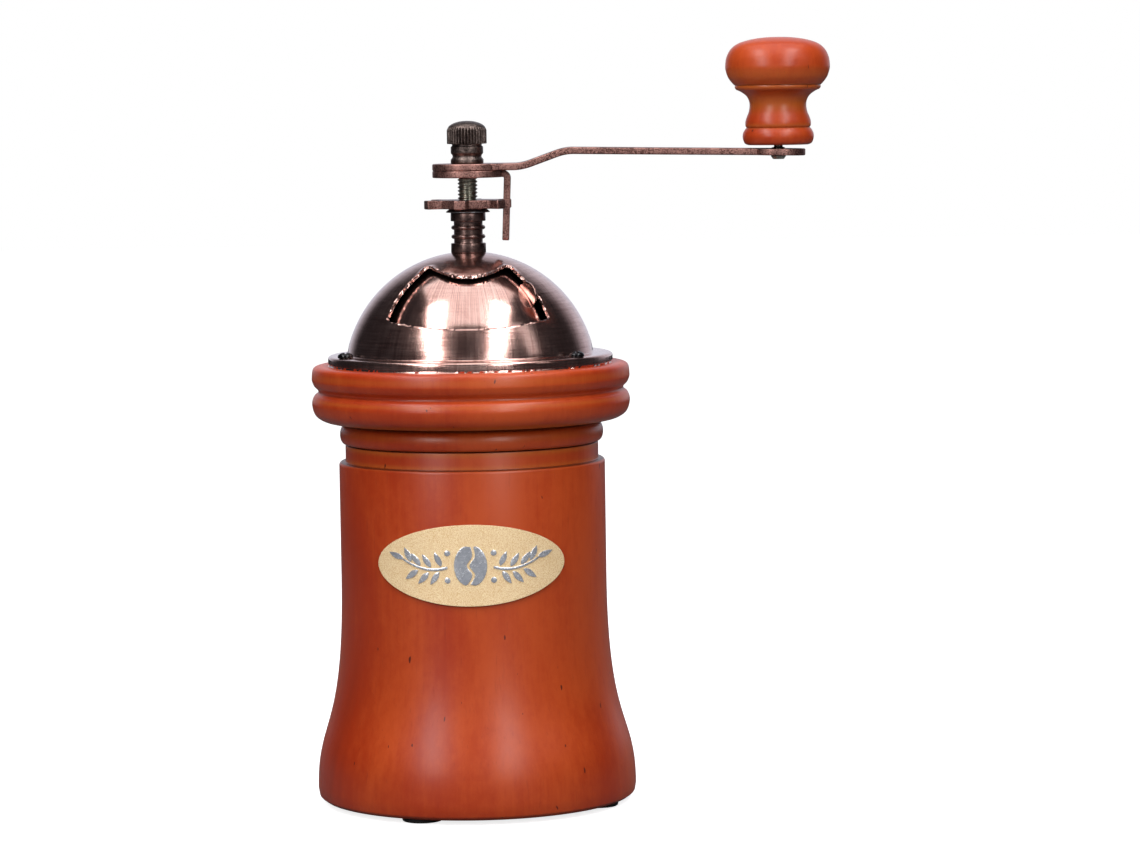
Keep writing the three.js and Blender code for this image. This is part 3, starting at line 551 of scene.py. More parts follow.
def makeBadgeMotif():
    bm = bmesh.new()
    # the bean's two halves, either side of an S-shaped cleft
    cleft = through([(-0.5, -5.3), (0.9, -2.6), (-0.7, 0), (0.9, 2.6), (0.5, 5.3)], 5)
    cleft = [(x * 0.9, y) for x, y in cleft]
    right = arc(0.55, 0, 3.9, 5.4, 78, -78, 18)
    left = arc(-0.55, 0, 3.9, 5.4, 258, 102, 18)
    motifPart(bm, [(x + 0.35, y * 0.95) for x, y in cleft] + right)
    motifPart(bm, left + [(x - 0.35, y * 0.95) for x, y in cleft][::-1])
    leaf = bezier((0, 0), (1.3, 1.6), (4.3, 0), steps=8)
    leaf += bezier((4.3, 0), (1.9, -1.6), (0, 0), steps=8)[1:-1]
    berry = arc(0, 0, 0.8, 0.8, 0, 345, 23)
    for flip in (1, -1):
        stem = bezier((6.2, -0.8), (12, -2.7), (18.2, 1.3), steps=16)
        back = bezier((18.0, 1.8), (12, -2.0), (6.2, -0.1), steps=16)
        motifPart(bm, placed(stem + back, 0, 0, 0, flip))
        for x, y, turn in ((7.9, -0.2, 66), (10.7, -0.5, 58), (13.5, -0.1, 54), (16.0, 0.9, 66),
                           (8.4, -1.6, -54), (11.2, -1.8, -46), (14.1, -1.2, -36)):
            motifPart(bm, placed(leaf, x, y, turn, flip))
        motifPart(bm, placed(leaf, 18.0, 1.6, 24, flip))
        for x, y in ((6.2, 3.4), (6.2, -3.9)):
            motifPart(bm, placed(berry, x, y, 0, flip))
    finished(bm, "badge_motif", "jar", badgeSilver, [])


makeBadgePlate()
makeBadgeMotif()
print("badge made")


# ---- wooden body

body = {"spigot": jar["bore"] - 0.3, "spigotBottom": low("upper_body").z, "smallBead": 36.2,
        "bead": high("upper_body").x, "ledge": rim + 6.1, "groove": rim + 14.7, "mouth": 33.0,
        "funnel": rim + 16, "throat": 18.5, "seat": rim + 2, "burrBore": 27.0}


def makeBody():
    neck = jar["neck"] - 0.1
    bead = body["bead"]
    ledge, groove = body["ledge"], body["groove"]
    smallBead = bezier((neck + 0.2, rim + 0.15), (body["smallBead"] + 0.5, rim + 0.2),
                       (body["smallBead"] + 0.5, rim + 5.0), (neck + 0.1, rim + 5.5), steps=14)
    lowerBead = through([(36.2, ledge), (39.8, ledge + 0.25), (42.0, ledge + 1.25), (43.15, ledge + 2.6),
                         (bead, ledge + 4.7), (bead - 0.1, ledge + 6.1), (43.1, ledge + 7.3),
                         (42.3, ledge + 8.0)])
    valley = bezier((42.3, ledge + 8.0), (41.5, groove), (42.4, groove + 0.75), steps=6)
    upperBead = through([(42.4, groove + 0.75), (43.1, groove + 1.5), (43.6, groove + 2.7),
                         (bead, groove + 3.6), (43.45, domeSeat - 1.1), (42.8, domeSeat - 0.3),
                         (41.9, domeSeat)])
    outline = [
        *rounded([(body["burrBore"], body["spigotBottom"]), (body["spigot"], body["spigotBottom"], 0.8),
                  (body["spigot"], rim, 0.3), (neck + 0.2, rim + 0.15)])[:-1],
        *smallBead, (neck - 0.05, ledge - 0.25), (neck + 0.35, ledge), *lowerBead, *valley[1:-1], *upperBead,
        *rounded([(41, domeSeat), (body["mouth"], domeSeat, 0.6), (body["mouth"], body["funnel"], 3),
                  (body["throat"], body["seat"] + 4, 1), (body["throat"], body["seat"]),
                  (body["burrBore"], body["seat"]), (body["burrBore"], body["spigotBottom"])])[:-1],
    ]
    bm = turnedMesh(outline, 160, closed=True)
    finished(bm, "turned_body", "housing", bodyWood, ["upper_body"])


makeBody()
print("body made")


# ---- dome and door

dome = {"sheet": 0.8, "flange": high("dome").x, "flangeTop": domeSeat + 2.8, "radius": 34.64,
        "centre": domeSeat - 3.85, "root": 33.54, "topFlat": 5.6, "top": high("dome").z, "hole": 4.15,
        "segments": 420, "rows": 80}
opening = {"low": domeSeat + 13.1, "high": domeSeat + 27.3, "wide": 22.6, "slim": 11.6, "sag": 1.9,
           "bulge": 0.9, "corner": 1.5, "flare": 0.45, "spacing": 0.12, "strips": (1.3, 1.0, 0.75, 0.5, 0.0),
           "easings": 14}
door = {"radius": dome["radius"] - 1.5, "squeeze": 0.965, "sheet": 0.6, "left": -49.9, "right": 45.5,
        "hub": 8.5, "bore": 4.4, "bottom": low("hopper_door").z, "tabAzimuth": 43.0, "tabRoot": 32.5,
        "tabRadius": 3.7, "tabHeight": domeSeat + 19.7}
domeCentre = Vector((0, 0, dome["centre"]))


def openingOutline():
    lowEdge, highEdge, wide, slim = opening["low"], opening["high"], opening["wide"], opening["slim"]
    corner, sag, bulge = opening["corner"], opening["sag"], opening["bulge"]
    lean = (wide - slim) / (highEdge - lowEdge)
    foot = (wide - corner * lean, lowEdge + corner)
    head = (slim + corner * lean, highEdge - corner)
    middle = ((foot[0] + head[0]) / 2 + 2 * bulge, (foot[1] + head[1]) / 2 + bulge)
    bottomEnd = (wide - 1.6 * corner, lowEdge - 0.2)
    topEnd = (slim - 1.2 * corner, highEdge - 0.2)
    lowest, crest = lowEdge - sag * 0.95, highEdge - sag - 0.6
    half = [*bezier((0, lowest), (bottomEnd[0] * 0.55, lowest), bottomEnd, steps=30)[:-1],
            *bezier(bottomEnd, (wide, lowEdge), foot, steps=8)[:-1],
            *bezier(foot, middle, head, steps=30)[:-1],
            *bezier(head, (slim, highEdge), topEnd, steps=8)[:-1],
            *bezier(topEnd, (topEnd[0] * 0.5, crest), (0, crest), steps=20)]
    return half[:-1] + [(-x, z) for x, z in half[::-1]][:-1]


def evened(loop, spacing):
    # the same closed loop with its points evenly apart
    ends = [Vector(p) for p in [*loop, loop[0]]]
    lengths = [(end - start).length for start, end in zip(ends, ends[1:])]
    count = round(sum(lengths) / spacing)
    step = sum(lengths) / count
    points, at, passed = [], 0, 0.0
    for k in range(count):
        while passed + lengths[at] < k * step:
            passed += lengths[at]
            at += 1
        points.append(tuple(ends[at].lerp(ends[at + 1], (k * step - passed) / lengths[at])))
    return points


def inside(x, z, loop):
    crossings = 0
    for (x0, z0), (x1, z1) in zip(loop, loop[1:] + loop[:1]):
        if (z0 > z) != (z1 > z) and x < x0 + (z - z0) * (x1 - x0) / (z1 - z0):
            crossings += 1
    return crossings % 2 == 1


def onDome(point, lift=0.0):
    return domeCentre + (point - domeCentre).normalized() * (dome["radius"] + lift)


def openingRings(loop, distances):
    # rows of points on the dome, each a distance outside the opening's edge
    edge = []
    for x, z in loop:
        depth = math.sqrt(dome["radius"] ** 2 - x ** 2 - (z - dome["centre"]) ** 2)
        edge.append(Vector((x, -depth, z)))
    corners = [Vector((side * (opening["slim"] - 0.6), 0, opening["high"] - 1.0)) for side in (-1, 1)]
    rows = []
    for distance in distances:
        row = []
        for k, point in enumerate(edge):
            along = (edge[(k + 1) % len(edge)] - edge[k - 1]).normalized()
            out = along.cross((point - domeCentre).normalized())
            near = min((corner - Vector((point.x, 0, point.z))).length for corner in corners)
            flare = opening["flare"] * math.exp(-(near / 2.6) ** 2) * max(0, 1 - distance / 1.5) ** 2
            row.append(onDome(point + out * distance, flare))
        rows.append(row)
    return rows


def cutOpening(bm, loop):
    # clears the sheet well round the opening, then grows even strips from there to the opening's edge
    rows = openingRings(evened(loop, opening["spacing"]), opening["strips"])
    count = len(rows[0])
    outer = [(point.x, point.z) for point in rows[0]]
    gone = [face for face in bm.faces if face.calc_center_median().y < -5
            and any(inside(vert.co.x, vert.co.z, outer) for vert in face.verts)]
    bmesh.ops.delete(bm, geom=gone, context="FACES")
    edges = [edge for edge in bm.edges if edge.is_boundary
             and opening["low"] - 8 < edge.verts[0].co.z < opening["high"] + 3]
    jagged = [edges[0].verts[0]]
    while len(jagged) < len(edges):
        beside = [edge.other_vert(jagged[-1]) for edge in jagged[-1].link_edges if edge.is_boundary]
        jagged.append(beside[0] if beside[0] not in jagged[-2:] else beside[1])
    places = []
    for vert in jagged:
        nearest = min(range(count), key=lambda k: (rows[0][k] - vert.co).length_squared)
        turned = (nearest - places[-1] + count / 2) % count - count / 2 if places else 0
        places.append(places[-1] + turned if places else nearest)
    whole = count if places[-1] > places[0] else -count
    for easing in range(opening["easings"]):
        ends = [places[-1] - whole, *places, places[0] + whole]
        places = [(before + 2 * here + after) / 4 for before, here, after in zip(ends, ends[1:], ends[2:])]
    known = [vert.co.copy() for vert in jagged]
    for row in rows:
        grown = bmesh.ops.extrude_edge_only(bm, edges=edges)["geom"]
        edges = [part for part in grown if isinstance(part, bmesh.types.BMEdge)]
        spots = [row[int(place) % count].lerp(row[(int(place) + 1) % count], place % 1) for place in places]
        for vert in [part for part in grown if isinstance(part, bmesh.types.BMVert)]:
            vert.co = spots[min(range(len(known)), key=lambda k: (known[k] - vert.co).length_squared)]
        known = spots


def facingOut(bm, centre):
    bmesh.ops.recalc_face_normals(bm, faces=bm.faces)
    if sum(face.normal.dot(face.calc_center_median() - centre) * face.calc_area() for face in bm.faces) < 0:
        bmesh.ops.reverse_faces(bm, faces=bm.faces)


def domeCurve(radius, fromRadius, toRadius, steps, squeeze=1.0):
    # up a dome's outside; squeeze shrinks its width but not its height
    start, end = (math.degrees(math.acos(r / radius / squeeze)) for r in (fromRadius, toRadius))
    return arc(0, dome["centre"], radius * squeeze, radius, start, end, steps)


def makeDome():
    flange = rounded([(dome["flange"], domeSeat), (dome["flange"], domeSeat + 0.5),
                      (dome["flange"], dome["flangeTop"] - 0.2, 0.8), (37.6, dome["flangeTop"], 0.8),
                      (dome["root"] + 0.15, dome["flangeTop"] + 0.05, 0.5),
                      (dome["root"] + 0.25, dome["flangeTop"] + 1.2)], steps=5)
    shell = domeCurve(dome["radius"], dome["root"] - 0.25, dome["topFlat"], dome["rows"])
    neck = bezier(shell[-1], (dome["topFlat"] - 0.6, dome["top"]), (dome["hole"], dome["top"]), steps=3)
    bm = turnedMesh([*flange[:-1], *shell, *neck[1:]], dome["segments"])
    cutOpening(bm, openingOutline())
    facingOut(bm, domeCentre)
    # its inside takes the near-black finish, which is painted shade
    finished(bm, "pressed_dome", "housing", domeCopper, ["dome"], wall=dome["sheet"], edge=0.3,
             lining=darkToned)


def makeDoor():
    bm = bmesh.new()
    squeeze = door["squeeze"]
    reach = squeeze * math.sqrt(door["radius"] ** 2 - (door["bottom"] - dome["centre"]) ** 2)
    leaf = domeCurve(door["radius"], reach, door["hub"], 40, squeeze)
    hub = domeCurve(door["radius"], door["hub"], door["bore"], 4, squeeze)
    span = door["right"] - door["left"]
    spun(bm, [*leaf, *hub[1:]], 110, start=door["left"], angle=span)
    spun(bm, hub, 100, start=door["right"], angle=360 - span)
    facingOut(bm, domeCentre)
    rise = door["tabHeight"] - dome["centre"]
    tilt = math.asin(rise / door["radius"])
    tab = bmesh.new()
    outline = arc(0, 0, door["tabRadius"], door["tabRadius"], -90, 90, 24)
    tab.faces.new([tab.verts.new((x, 0, z)) for x, z in outline])
    root = (door["tabRoot"] * math.cos(tilt), 0.3, dome["centre"] + door["tabRoot"] * math.sin(tilt))
    place = (Matrix.Rotation(math.radians(door["tabAzimuth"] - 90), 4, "Z") @ Matrix.Translation(root)
             @ Matrix.Rotation(-tilt, 4, "Y"))
    bmesh.ops.transform(tab, matrix=place, verts=tab.verts)
    joined(bm, tab)
    finished(bm, "sliding_door", "door", doorCopper, ["hopper_door"], wall=door["sheet"], edge=0.14)


makeDome()
makeDoor()


screwSlot = {"half": 0.34, "depth": 0.55}    # both of the crossed slots


def makeDomeScrew(number):
    node = f"dome_screw_{number}"
    bottom, top = low(node), high(node)
    centre = (bottom + top) / 2
    head = (top.x - bottom.x) / 2
    crown = rounded([(0, bottom.z), (1.3, bottom.z + 1.2, 0.3), (1.3, dome["flangeTop"] + 0.05),
                     (head, dome["flangeTop"] + 0.05, 0.2), (head, dome["flangeTop"] + 0.55, 0.3)])
    cheek = arc(0, dome["flangeTop"] + 0.5, head, top.z - dome["flangeTop"] - 0.5, 0, 90, 12)
    bm = turnedMesh([*crown[:-1], *cheek], 48)
    # the crossed slots sink into the head
    for vert in bm.verts:
        x, y, z = vert.co
        across, along = min(abs(x), abs(y)), max(abs(x), abs(y))
        if z > dome["flangeTop"] + 0.8 and across < screwSlot["half"] and along < head * 0.75:
            valley = (1 - (across / screwSlot["half"]) ** 2) * (1 - (along / head) ** 2)
            vert.co.z -= screwSlot["depth"] * valley
    bmesh.ops.translate(bm, vec=(centre.x, centre.y, 0), verts=bm.verts)
    finished(bm, f"round_head_screw_{number}", "housing", blackSteel, [node])


for number in range(1, 4):
    makeDomeScrew(number)
print("dome and door made")


# ---- sleeve, star nut and its washer

sleeve = {"radius": 4.8, "groove": 3.95, "bottom": low("sleeve").z, "top": high("sleeve").z,
          "bore": 2.95, "spigot": 4.0}


def makeSleeve():
    seat, top = dome["top"], sleeve["top"]
    radius, groove = sleeve["radius"], sleeve["groove"]
    ribs = []
    for middle in (seat + 4.55, seat + 7.05):
        rib = arc(groove, middle, 0.72, 0.62, -90, 90, 10)
        ribs += [(groove, middle - 0.82), *rib, (groove, middle + 0.82)]
    outline = rounded([(sleeve["bore"], sleeve["bottom"], 0.2), (sleeve["spigot"], sleeve["bottom"], 0.3),
                       (sleeve["spigot"], seat + 0.02), (radius, seat + 0.02, 0.25),
                       (radius, seat + 2.75, 0.25), (groove, seat + 2.8, 0.15), *ribs,
                       (groove, top - 2.35, 0.15), (radius, top - 2.3, 0.25), (radius, top, 0.25),
                       (sleeve["bore"], top, 0.2)], closed=True)
    bm = turnedMesh(outline, 96, closed=True)
    finished(bm, "ribbed_sleeve", "housing", sleeveCopper, ["sleeve"])


def makeNutWasher():
    bottom, top = low("nut_washer").z, high("nut_washer").z
    outline = rounded([(2.95, bottom + 0.45, 0.1), (5.2, bottom + 0.45, 0.2), (6.0, bottom, 0.12),
                       (6.0, bottom + 0.3, 0.12), (5.0, top, 0.2), (2.95, top, 0.1)], closed=True)
    bm = turnedMesh(outline, 96, closed=True)
    finished(bm, "dished_washer", "star_nut", greySteel, ["nut_washer"])


star = {"tip": 12.3, "root": 8.4, "half": 1.75, "lobes": 6, "first": -9.5}


def makeStarNut():
    halfTurn = math.degrees(math.asin(star["half"] / star["tip"]))
    depth = star["tip"] - star["root"]
    flank = [(halfTurn, 1, 0.35), (halfTurn, 0.38), (halfTurn * 1.3, 0.1), (halfTurn * 1.7, 0)]
    corners = []
    for lobe in range(star["lobes"]):
        azimuth = star["first"] + lobe * 360 / star["lobes"]
        for side in (-1, 1):
            points = [(*around(azimuth + side * turn, star["root"] + share * depth)[:2], *rest)
                      for turn, share, *rest in flank]
            corners += points[::side]    # root to tip, then tip to root
    bm = bmesh.new()
    outline = rounded(corners, closed=True)
    slab(bm, outline, low("star_nut").z, high("star_nut").z, edge=0.28, edgeSteps=3)
    finished(bm, "star_nut_plate", "star_nut", starCopper, ["star_nut"], weighted=True)


makeSleeve()
makeNutWasher()
makeStarNut()
print("adjuster made")


# ---- shaft, with a real thread on its upper part

shaft = {"major": 2.72, "minor": 2.28, "pitch": 1.0, "threadFrom": 158.0, "flat": 2.25,
         "flatsFrom": high("lock_plate").z - 1.9, "perTurn": 40, "perPitch": 12}


def makeShaft():
    bottom, top = low("shaft").z, high("shaft").z
    threadFrom = shaft["threadFrom"]
    shank = [(0, bottom), (2.2, bottom), (2.8, bottom + 0.6), (2.8, threadFrom - 0.8)]
    count = int((top - threadFrom) / shaft["pitch"] * shaft["perPitch"])
    threaded = [(shaft["major"], threadFrom + (top - 0.6 - threadFrom) * k / count) for k in range(count + 1)]
    bm = turnedMesh([*shank, *threaded, (2.2, top), (0, top)], shaft["perTurn"])
    for vert in bm.verts:
        x, y, z = vert.co
        radius = math.hypot(x, y)
        if z > threadFrom and radius > 2.4:
            phase = (z / shaft["pitch"] - math.atan2(y, x) / (2 * math.pi)) % 1
            wave = min(1, max(0, 1.25 - abs(phase - 0.5) * 3.1))
            fade = min(1, (z - threadFrom) / 0.8) * min(1, (top - 0.4 - z) / 0.5 if z < top - 0.4 else 0)
            target = shaft["major"] - (shaft["major"] - shaft["minor"]) * (1 - wave) * fade
            vert.co.x, vert.co.y = x / radius * target, y / radius * target
            if z > shaft["flatsFrom"]:
                vert.co.y = max(-shaft["flat"], min(shaft["flat"], vert.co.y))
    finished(bm, "threaded_shaft", "shaft", zinc, ["shaft"], crease=70)


makeShaft()


# ---- lock plate and crank arm: flat blanks, bent

lock = {"radius": 9.6, "width": 3.0, "reach": high("lock_plate").x, "bend": 2.2, "lean": 2.4}
arm = {"sheet": 1.9, "hub": 9.6, "hubHalf": 6.5, "endHalf": 4.2, "riseStart": 15.0, "riseEnd": 26.8,
       "droop": 1.25, "end": 7.4, "soft": 2.4}


def discWithArm(radius, halfWidth, length, endHalf, endRadius=None, steps=48):
    # plan of a disc with a bar from it along +X, and a round or square end
    meet = math.degrees(math.asin(halfWidth / radius))
    outline = arc(0, 0, radius, radius, meet, 360 - meet, steps)
    if endRadius:
        turn = math.degrees(math.asin(endHalf / endRadius))
        outline += arc(length, 0, endRadius, endRadius, -180 + turn, 180 - turn, steps)
        return outline
    corner = 0.8
    end = rounded([(radius, -halfWidth), (length, -endHalf, corner), (length, endHalf, corner),
                   (radius, halfWidth)])
    return outline + end[1:-1]


def makeLockPlate():
    top = low("crank_arm").z    # the plate lies right under the arm
    bottom = top - arm["sheet"]
    sheet = top - bottom
    straight = lock["reach"] - lock["bend"]
    middle = lock["bend"] - sheet / 2
    turn = math.radians(90 + lock["lean"])
    bendLength = middle * turn
    finger = (top - lock["bend"] - low("lock_plate").z) / math.cos(math.radians(lock["lean"]))
    length = straight + bendLength + finger
    bm = bmesh.new()
    outline = discWithArm(lock["radius"], lock["width"] / 2, length, lock["width"] / 2)
    slab(bm, outline, -sheet / 2, sheet / 2, edge=0.3, edgeSteps=3)
    sliced(bm, 0, [straight + bendLength * k / 8 for k in range(9)])
    for vert in bm.verts:
        x, y, z = vert.co
        beyond = x - straight
        if beyond > 0:
            angle = min(beyond / middle, turn)
            rest = max(0, beyond - bendLength)
            x = straight + (middle + z) * math.sin(angle) + rest * math.cos(angle)
            z = -middle + (middle + z) * math.cos(angle) - rest * math.sin(angle)
        vert.co = (x, y, z + (top + bottom) / 2)
    finished(bm, "lock_plate_bent", "lock_plate", plateCopper, ["lock_plate"], weighted=True)


def armHeight(x, under, rise):
    # height of the arm's middle: level, then up, then drooping to the knob, with soft bends
    slope = rise / (arm["riseEnd"] - arm["riseStart"])
    fall = -arm["droop"] / (knobAxis - arm["riseEnd"])

    def ramp(distance):
        # a corner eased over its soft length
        soft = arm["soft"]
        if distance < -soft:
            return 0.0
        return distance if distance > soft else (distance + soft) ** 2 / (4 * soft)

    middle = under + arm["sheet"] / 2
    return middle + slope * ramp(x - arm["riseStart"]) + (fall - slope) * ramp(x - arm["riseEnd"])


def makeArm():
    under = low("crank_arm").z
    rise = high("crank_arm").z - under - arm["sheet"]
    bm = bmesh.new()
    outline = discWithArm(arm["hub"], arm["hubHalf"], knobAxis, arm["endHalf"], arm["end"])
    slab(bm, outline, -arm["sheet"] / 2, arm["sheet"] / 2, edge=0.35, edgeSteps=3)
    for bend in (arm["riseStart"], arm["riseEnd"]):
        sliced(bm, 0, [bend - arm["soft"] + arm["soft"] * k / 5 for k in range(11)])
    for vert in bm.verts:
        x, y, z = vert.co
        height = armHeight(x, under, rise)
        slope = (armHeight(x + 0.1, under, rise) - height) / 0.1
        tilt = math.atan(slope)
        vert.co = (x - z * math.sin(tilt), y, height + z * math.cos(tilt))
    finished(bm, "crank_arm_bent", "crank", plateCopper, ["crank_arm"], weighted=True)


makeLockPlate()
makeArm()


# ---- cap nut

cap = {"head": 5.45, "base": 4.5, "flutes": 38, "fluteDepth": 0.5, "bore": 2.95}


def makeCap():
    foot, top = low("cap_nut").z, high("cap_nut").z
    bore, base, head = cap["bore"], cap["base"], cap["head"]
    outline = [(0, foot + 9.0), (bore, foot + 9.0), *rounded(
        [(bore, foot + 9.0), (bore, foot, 0.2), (base, foot, 0.3), (base, foot + 1.1, 0.3),
         (3.95, foot + 1.8, 0.5), (4.0, foot + 2.3, 0.5), (4.45, foot + 2.9, 0.4),
         (4.45, foot + 4.65, 0.3), (4.08, foot + 4.85, 0.15),
         (4.08, foot + 5.35, 0.15), (head, foot + 5.42, 0.2), (head, foot + 5.7)], steps=3)[1:],
        *[(head, foot + 5.7 + 0.36 * k) for k in range(1, 10)],
        *through([(head, foot + 9.1), (5.22, foot + 9.65), (4.7, foot + 10.4), (3.6, foot + 11.05),
                  (1.9, foot + 11.55), (0, top)], 5)]
    bm = turnedMesh(outline, cap["flutes"] * 10)
    for vert in bm.verts:
        x, y, z = vert.co
        radius = math.hypot(x, y)
        if radius > 4.5 and z > foot + 5.3:
            turn = math.atan2(y, x) / (2 * math.pi) * cap["flutes"] % 1
            valley = max(0, math.cos((turn - 0.5) * 2 * math.pi) * 0.5 + 0.5) ** 1.6
            deepest = head - cap["fluteDepth"] * valley
            if radius > deepest:
                vert.co.x, vert.co.y = x / radius * deepest, y / radius * deepest
    finished(bm, "knurled_cap_nut", "cap_nut", gunmetal, ["cap_nut"], crease=60)


makeCap()
print("crank made")


# ---- knob and its pin

def makeKnob():
    up = knobFoot
    base = through([(8.2, up), (9.2, up + 0.5), (9.72, up + 2.0), (9.6, up + 3.3), (9.0, up + 4.35),
                    (8.62, up + 4.75)], 5)
    second = through([(8.62, up + 4.75), (8.95, up + 5.3), (8.95, up + 6.4), (8.55, up + 7.7),
                      (8.0, up + 9.1), (7.75, up + 10.8), (7.95, up + 12.2), (8.7, up + 13.5),
                      (10.2, up + 14.6), (11.35, up + 15.1)], 5)
    lip = through([(11.35, up + 15.1), (11.75, up + 15.7), (11.7, up + 16.3)], 4)
    crown = through([(11.7, up + 16.3), (12.3, up + 16.8), (13.5, up + 18.4), (14.2, up + 20.4),
                     (14.3, up + 22.0), (13.9, up + 24.2), (12.7, up + 26.3), (10.6, up + 27.8),
                     (7.2, up + 28.8), (3.4, up + 29.3), (0, up + 29.4)], 6)
    chamber = [(0, up + 23.5), (3.4, up + 23.5), (3.4, up + 19.2), (2.35, up + 19.2), (2.35, up + 0.3),
               (2.6, up)]
    bm = turnedMesh([*chamber, *base, *second[1:], *lip[1:], *crown[1:]], 128)
    bmesh.ops.translate(bm, vec=(knobAxis, 0, 0), verts=bm.verts)
    finished(bm, "turned_knob", "knob", knobWood, ["knob"], crease=45)


def makeKnobPin():
    bottom, top = low("knob_pin").z, high("knob_pin").z
    armTop = knobFoot - 0.95
    armUnder = armTop - arm["sheet"]
    outline = rounded([(0, bottom), (1.5, bottom, 0.4), (2.2, armUnder - 0.05, 0.15),
                       (1.5, armUnder - 0.05), (1.5, armTop + 0.1), (2.2, armTop + 0.1, 0.15),
                       (1.2, armTop + 0.4, 0.15), (1.2, knobFoot - 0.1), (2.0, knobFoot + 0.6),
                       (2.0, top - 2.4), (3.0, top - 2.4, 0.1), (2.1, top, 0.1), (0, top)])
    bm = turnedMesh(outline, 48)
    bmesh.ops.translate(bm, vec=(knobAxis, 0, 0), verts=bm.verts)
    finished(bm, "shouldered_pin", "crank", zinc, ["knob_pin"])


makeKnob()
makeKnobPin()
print("knob made")


# ---- inside: the frame's own solids, each with its finish, and the spring

for node, finish in {"outer_burr": castIron, "inner_burr": castIron, "bearing_bridge": greySteel,
                     "bridge_bush": brass, "burr_screw_1": zinc, "burr_screw_2": zinc, "burr_screw_3": zinc,
                     "spring_washer": greySteel, "burr_washer": greySteel, "burr_nut": zinc,
                     "door_retainer": greySteel}.items():
    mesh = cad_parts[node].data
    mesh.materials.clear()
    mesh.materials.append(finish)

# travel is how far the shaft floats, which is how much the spring shortens
spring = {"meanRadius": 5.6, "wireRadius": 0.55, "turns": 4.5, "perTurn": 36, "sides": 12, "travel": 0.8}


def makeSpring():
    bottom, top = low("burr_spring").z, high("burr_spring").z
    wire, sides = spring["wireRadius"], spring["sides"]
    start, end = bottom + wire, top - wire
    steps = round(spring["turns"] * spring["perTurn"])
    bm = bmesh.new()
    rings = []
    for i in range(steps + 1):
        turn = 2 * math.pi * spring["turns"] * i / steps
        height = start + (end - start) * i / steps
        ring = []
        for side in range(sides):
            angle = 2 * math.pi * side / sides
            radius = spring["meanRadius"] + wire * math.cos(angle)
            place = (radius * math.cos(turn), radius * math.sin(turn), height + wire * math.sin(angle))
            ring.append(bm.verts.new(place))
        rings.append(ring)
    for first, second in zip(rings, rings[1:]):
        for side in range(sides):
            after = (side + 1) % sides
            bm.faces.new((first[side], second[side], second[after], first[after]))
    bm.faces.new(rings[0])
    bm.faces.new(rings[-1][::-1])
    piece = finished(bm, "coil_spring", "spring_seat", zinc, ["burr_spring"])
    height = top - bottom
    (height - spring["travel"]) / height
    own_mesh(piece)


makeSpring()
print("inside finished")


# ---- floor, light and camera

def makeFloor():
    bm = bmesh.new()
    bmesh.ops.create_grid(bm, x_segments=1, y_segments=1, size=4)
    bmesh.ops.translate(bm, vec=(0, 0, low("foot_pad_1").z * mm - 0.0001), verts=bm.verts)
    mesh = bpy.data.meshes.new("floor")
    bm.to_mesh(mesh)
    bm.free()
    paint = bpy.data.materials.new("pale floor")
    paint.use_nodes = True
    g = Graph(paint.node_tree)
    seen = g.node("ShaderNodeLightPath", output="Is Camera Ray")
    tone = g.mix(seen, (0.16, 0.16, 0.17, 1), (0.7, 0.7, 0.71, 1))
    matt = g.node("ShaderNodeBsdfDiffuse", {}, {"Color": tone})
    place = g.node("ShaderNodeTexCoord", output="Object")
    distance = g.node("ShaderNodeVectorMath", {"operation": "LENGTH"}, {0: place}, 1)
    strength = seen * g.step(distance, 0.1, 0.9, 0.8, 1.0)
    glow = g.node("ShaderNodeEmission", {}, {"Color": (1, 1, 1, 1), "Strength": strength})
    shader = g.node("ShaderNodeAddShader", {}, {0: matt, 1: glow})
    g.node("ShaderNodeOutputMaterial", {}, {"Surface": shader})
    mesh.materials.append(paint)
    floor = bpy.data.objects.new("floor", mesh)
    bpy.context.scene.collection.objects.link(floor)


studio = {"centre": Vector((0, 0, 0.11)), "front": 0.03, "back": 0.85}
panels = {  # two ends and a width in m, and how bright the face is
    "left panel": ((-0.56, -0.98, 0.12), (-0.52, -0.67, 0.60), 0.27, 7.5),
    "left panel, top": ((-0.52, -0.67, 0.60), (-0.45, -0.11, 1.0), 0.27, 7.5),
    "right panel": ((0.47, -1.04, 0.12), (0.42, -0.73, 0.60), 0.23, 7.5),
    "right panel, top": ((0.42, -0.73, 0.60), (0.46, -0.11, 1.0), 0.25, 7.5),
    "ceiling": ((0, -0.72, 0.93), (0, 0.5, 0.95), 1.1, 1.45),
    "far right": ((0.98, -0.50, 0.25), (0.80, -0.36, 0.85), 0.2, 1.0),
    "low front": ((0, -1.25, 0.0), (0, -1.3, 0.3), 1.0, 0.25),
}


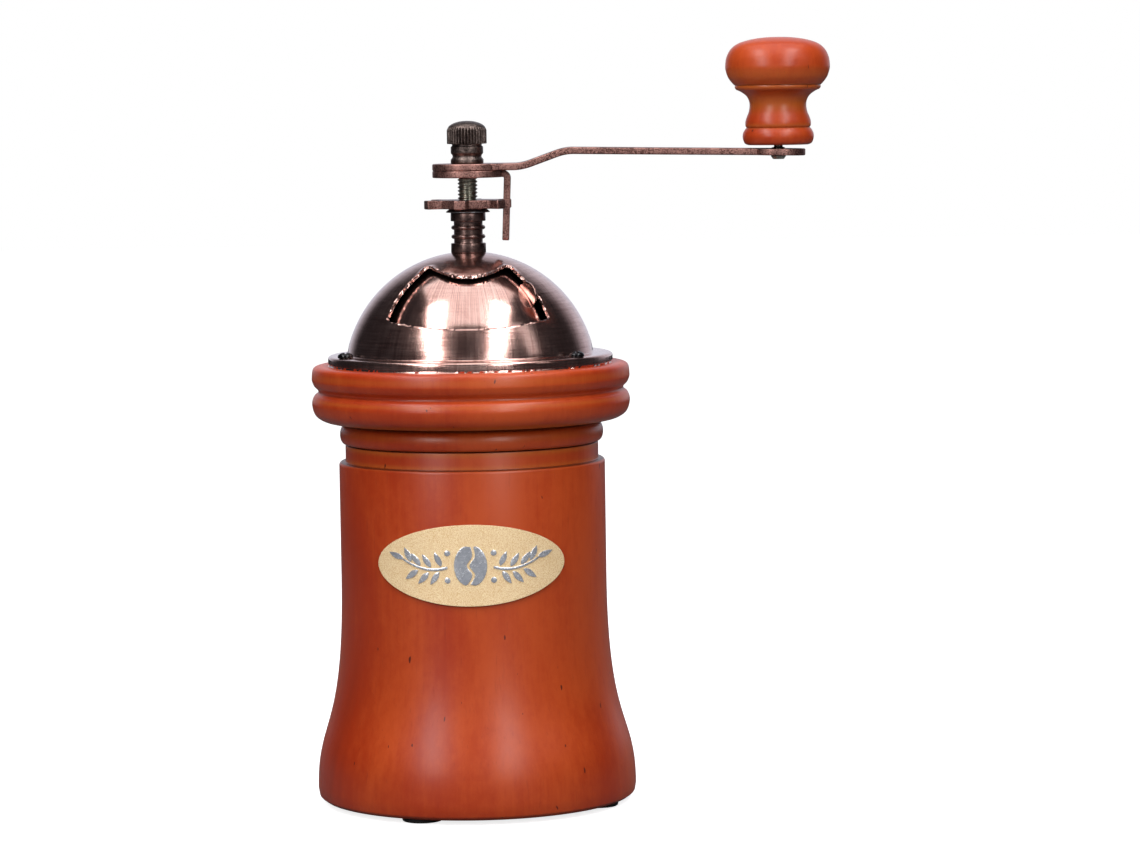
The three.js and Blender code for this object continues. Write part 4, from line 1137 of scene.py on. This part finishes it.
def makeLights():
    for name, (first, second, width, bright) in panels.items():
        start, end = Vector(first), Vector(second)
        along = (end - start).normalized()
        facing = -((start + end) / 2)
        facing = (facing - along * facing.dot(along)).normalized()
        across = along.cross(-facing)
        data = bpy.data.lights.new(name, "AREA")
        data.shape, data.size, data.size_y = "RECTANGLE", width, (end - start).length
        data.energy = bright * math.pi * width * (end - start).length
        panel = bpy.data.objects.new(name, data)
        bpy.context.scene.collection.objects.link(panel)
        turn = Matrix((across, along, -facing)).transposed().to_4x4()
        panel.matrix_world = Matrix.Translation(studio["centre"] + (start + end) / 2) @ turn
        panel.visible_camera = False


def makeWorld():
    world = bpy.data.worlds.new("studio")
    world.use_nodes = True
    bpy.context.scene.world = world
    g = Graph(world.node_tree)
    direction = g.node("ShaderNodeTexCoord", output="Generated")
    x, y, z = g.parts(direction)
    behind = g.step(y + x * 0.14, 0.62, 0.97, studio["front"], studio["back"])
    camera = g.node("ShaderNodeLightPath", output="Is Camera Ray")
    level = g.node("ShaderNodeMath", {"operation": "MAXIMUM"}, {0: camera, 1: behind})
    tint = g.mix(camera, (0.86, 0.88, 1, 1), (1, 1, 1, 1))
    backdrop = g.node("ShaderNodeBackground", {}, {"Color": tint, "Strength": level})
    g.node("ShaderNodeOutputWorld", {}, {"Surface": backdrop})


lens = {"place": (27.1, -1114, 195), "down": 4.8, "roll": -0.85, "focal": 128.15}


def makeCamera():
    data = bpy.data.cameras.new("camera")
    data.lens, data.sensor_width, data.clip_start = lens["focal"], 36, 0.01
    camera = bpy.data.objects.new("camera", data)
    bpy.context.scene.collection.objects.link(camera)
    camera.matrix_world = (Matrix.Translation(Vector(lens["place"]) * mm)
                           @ Matrix.Rotation(math.radians(90 - lens["down"]), 4, "X")
                           @ Matrix.Rotation(math.radians(lens["roll"]), 4, "Z"))
    bpy.context.scene.camera = camera


makeFloor()
makeLights()
makeWorld()
makeCamera()
bpy.context.scene.view_settings.view_transform = "Standard"
print("studio made")

bpy.context.view_layer.update()
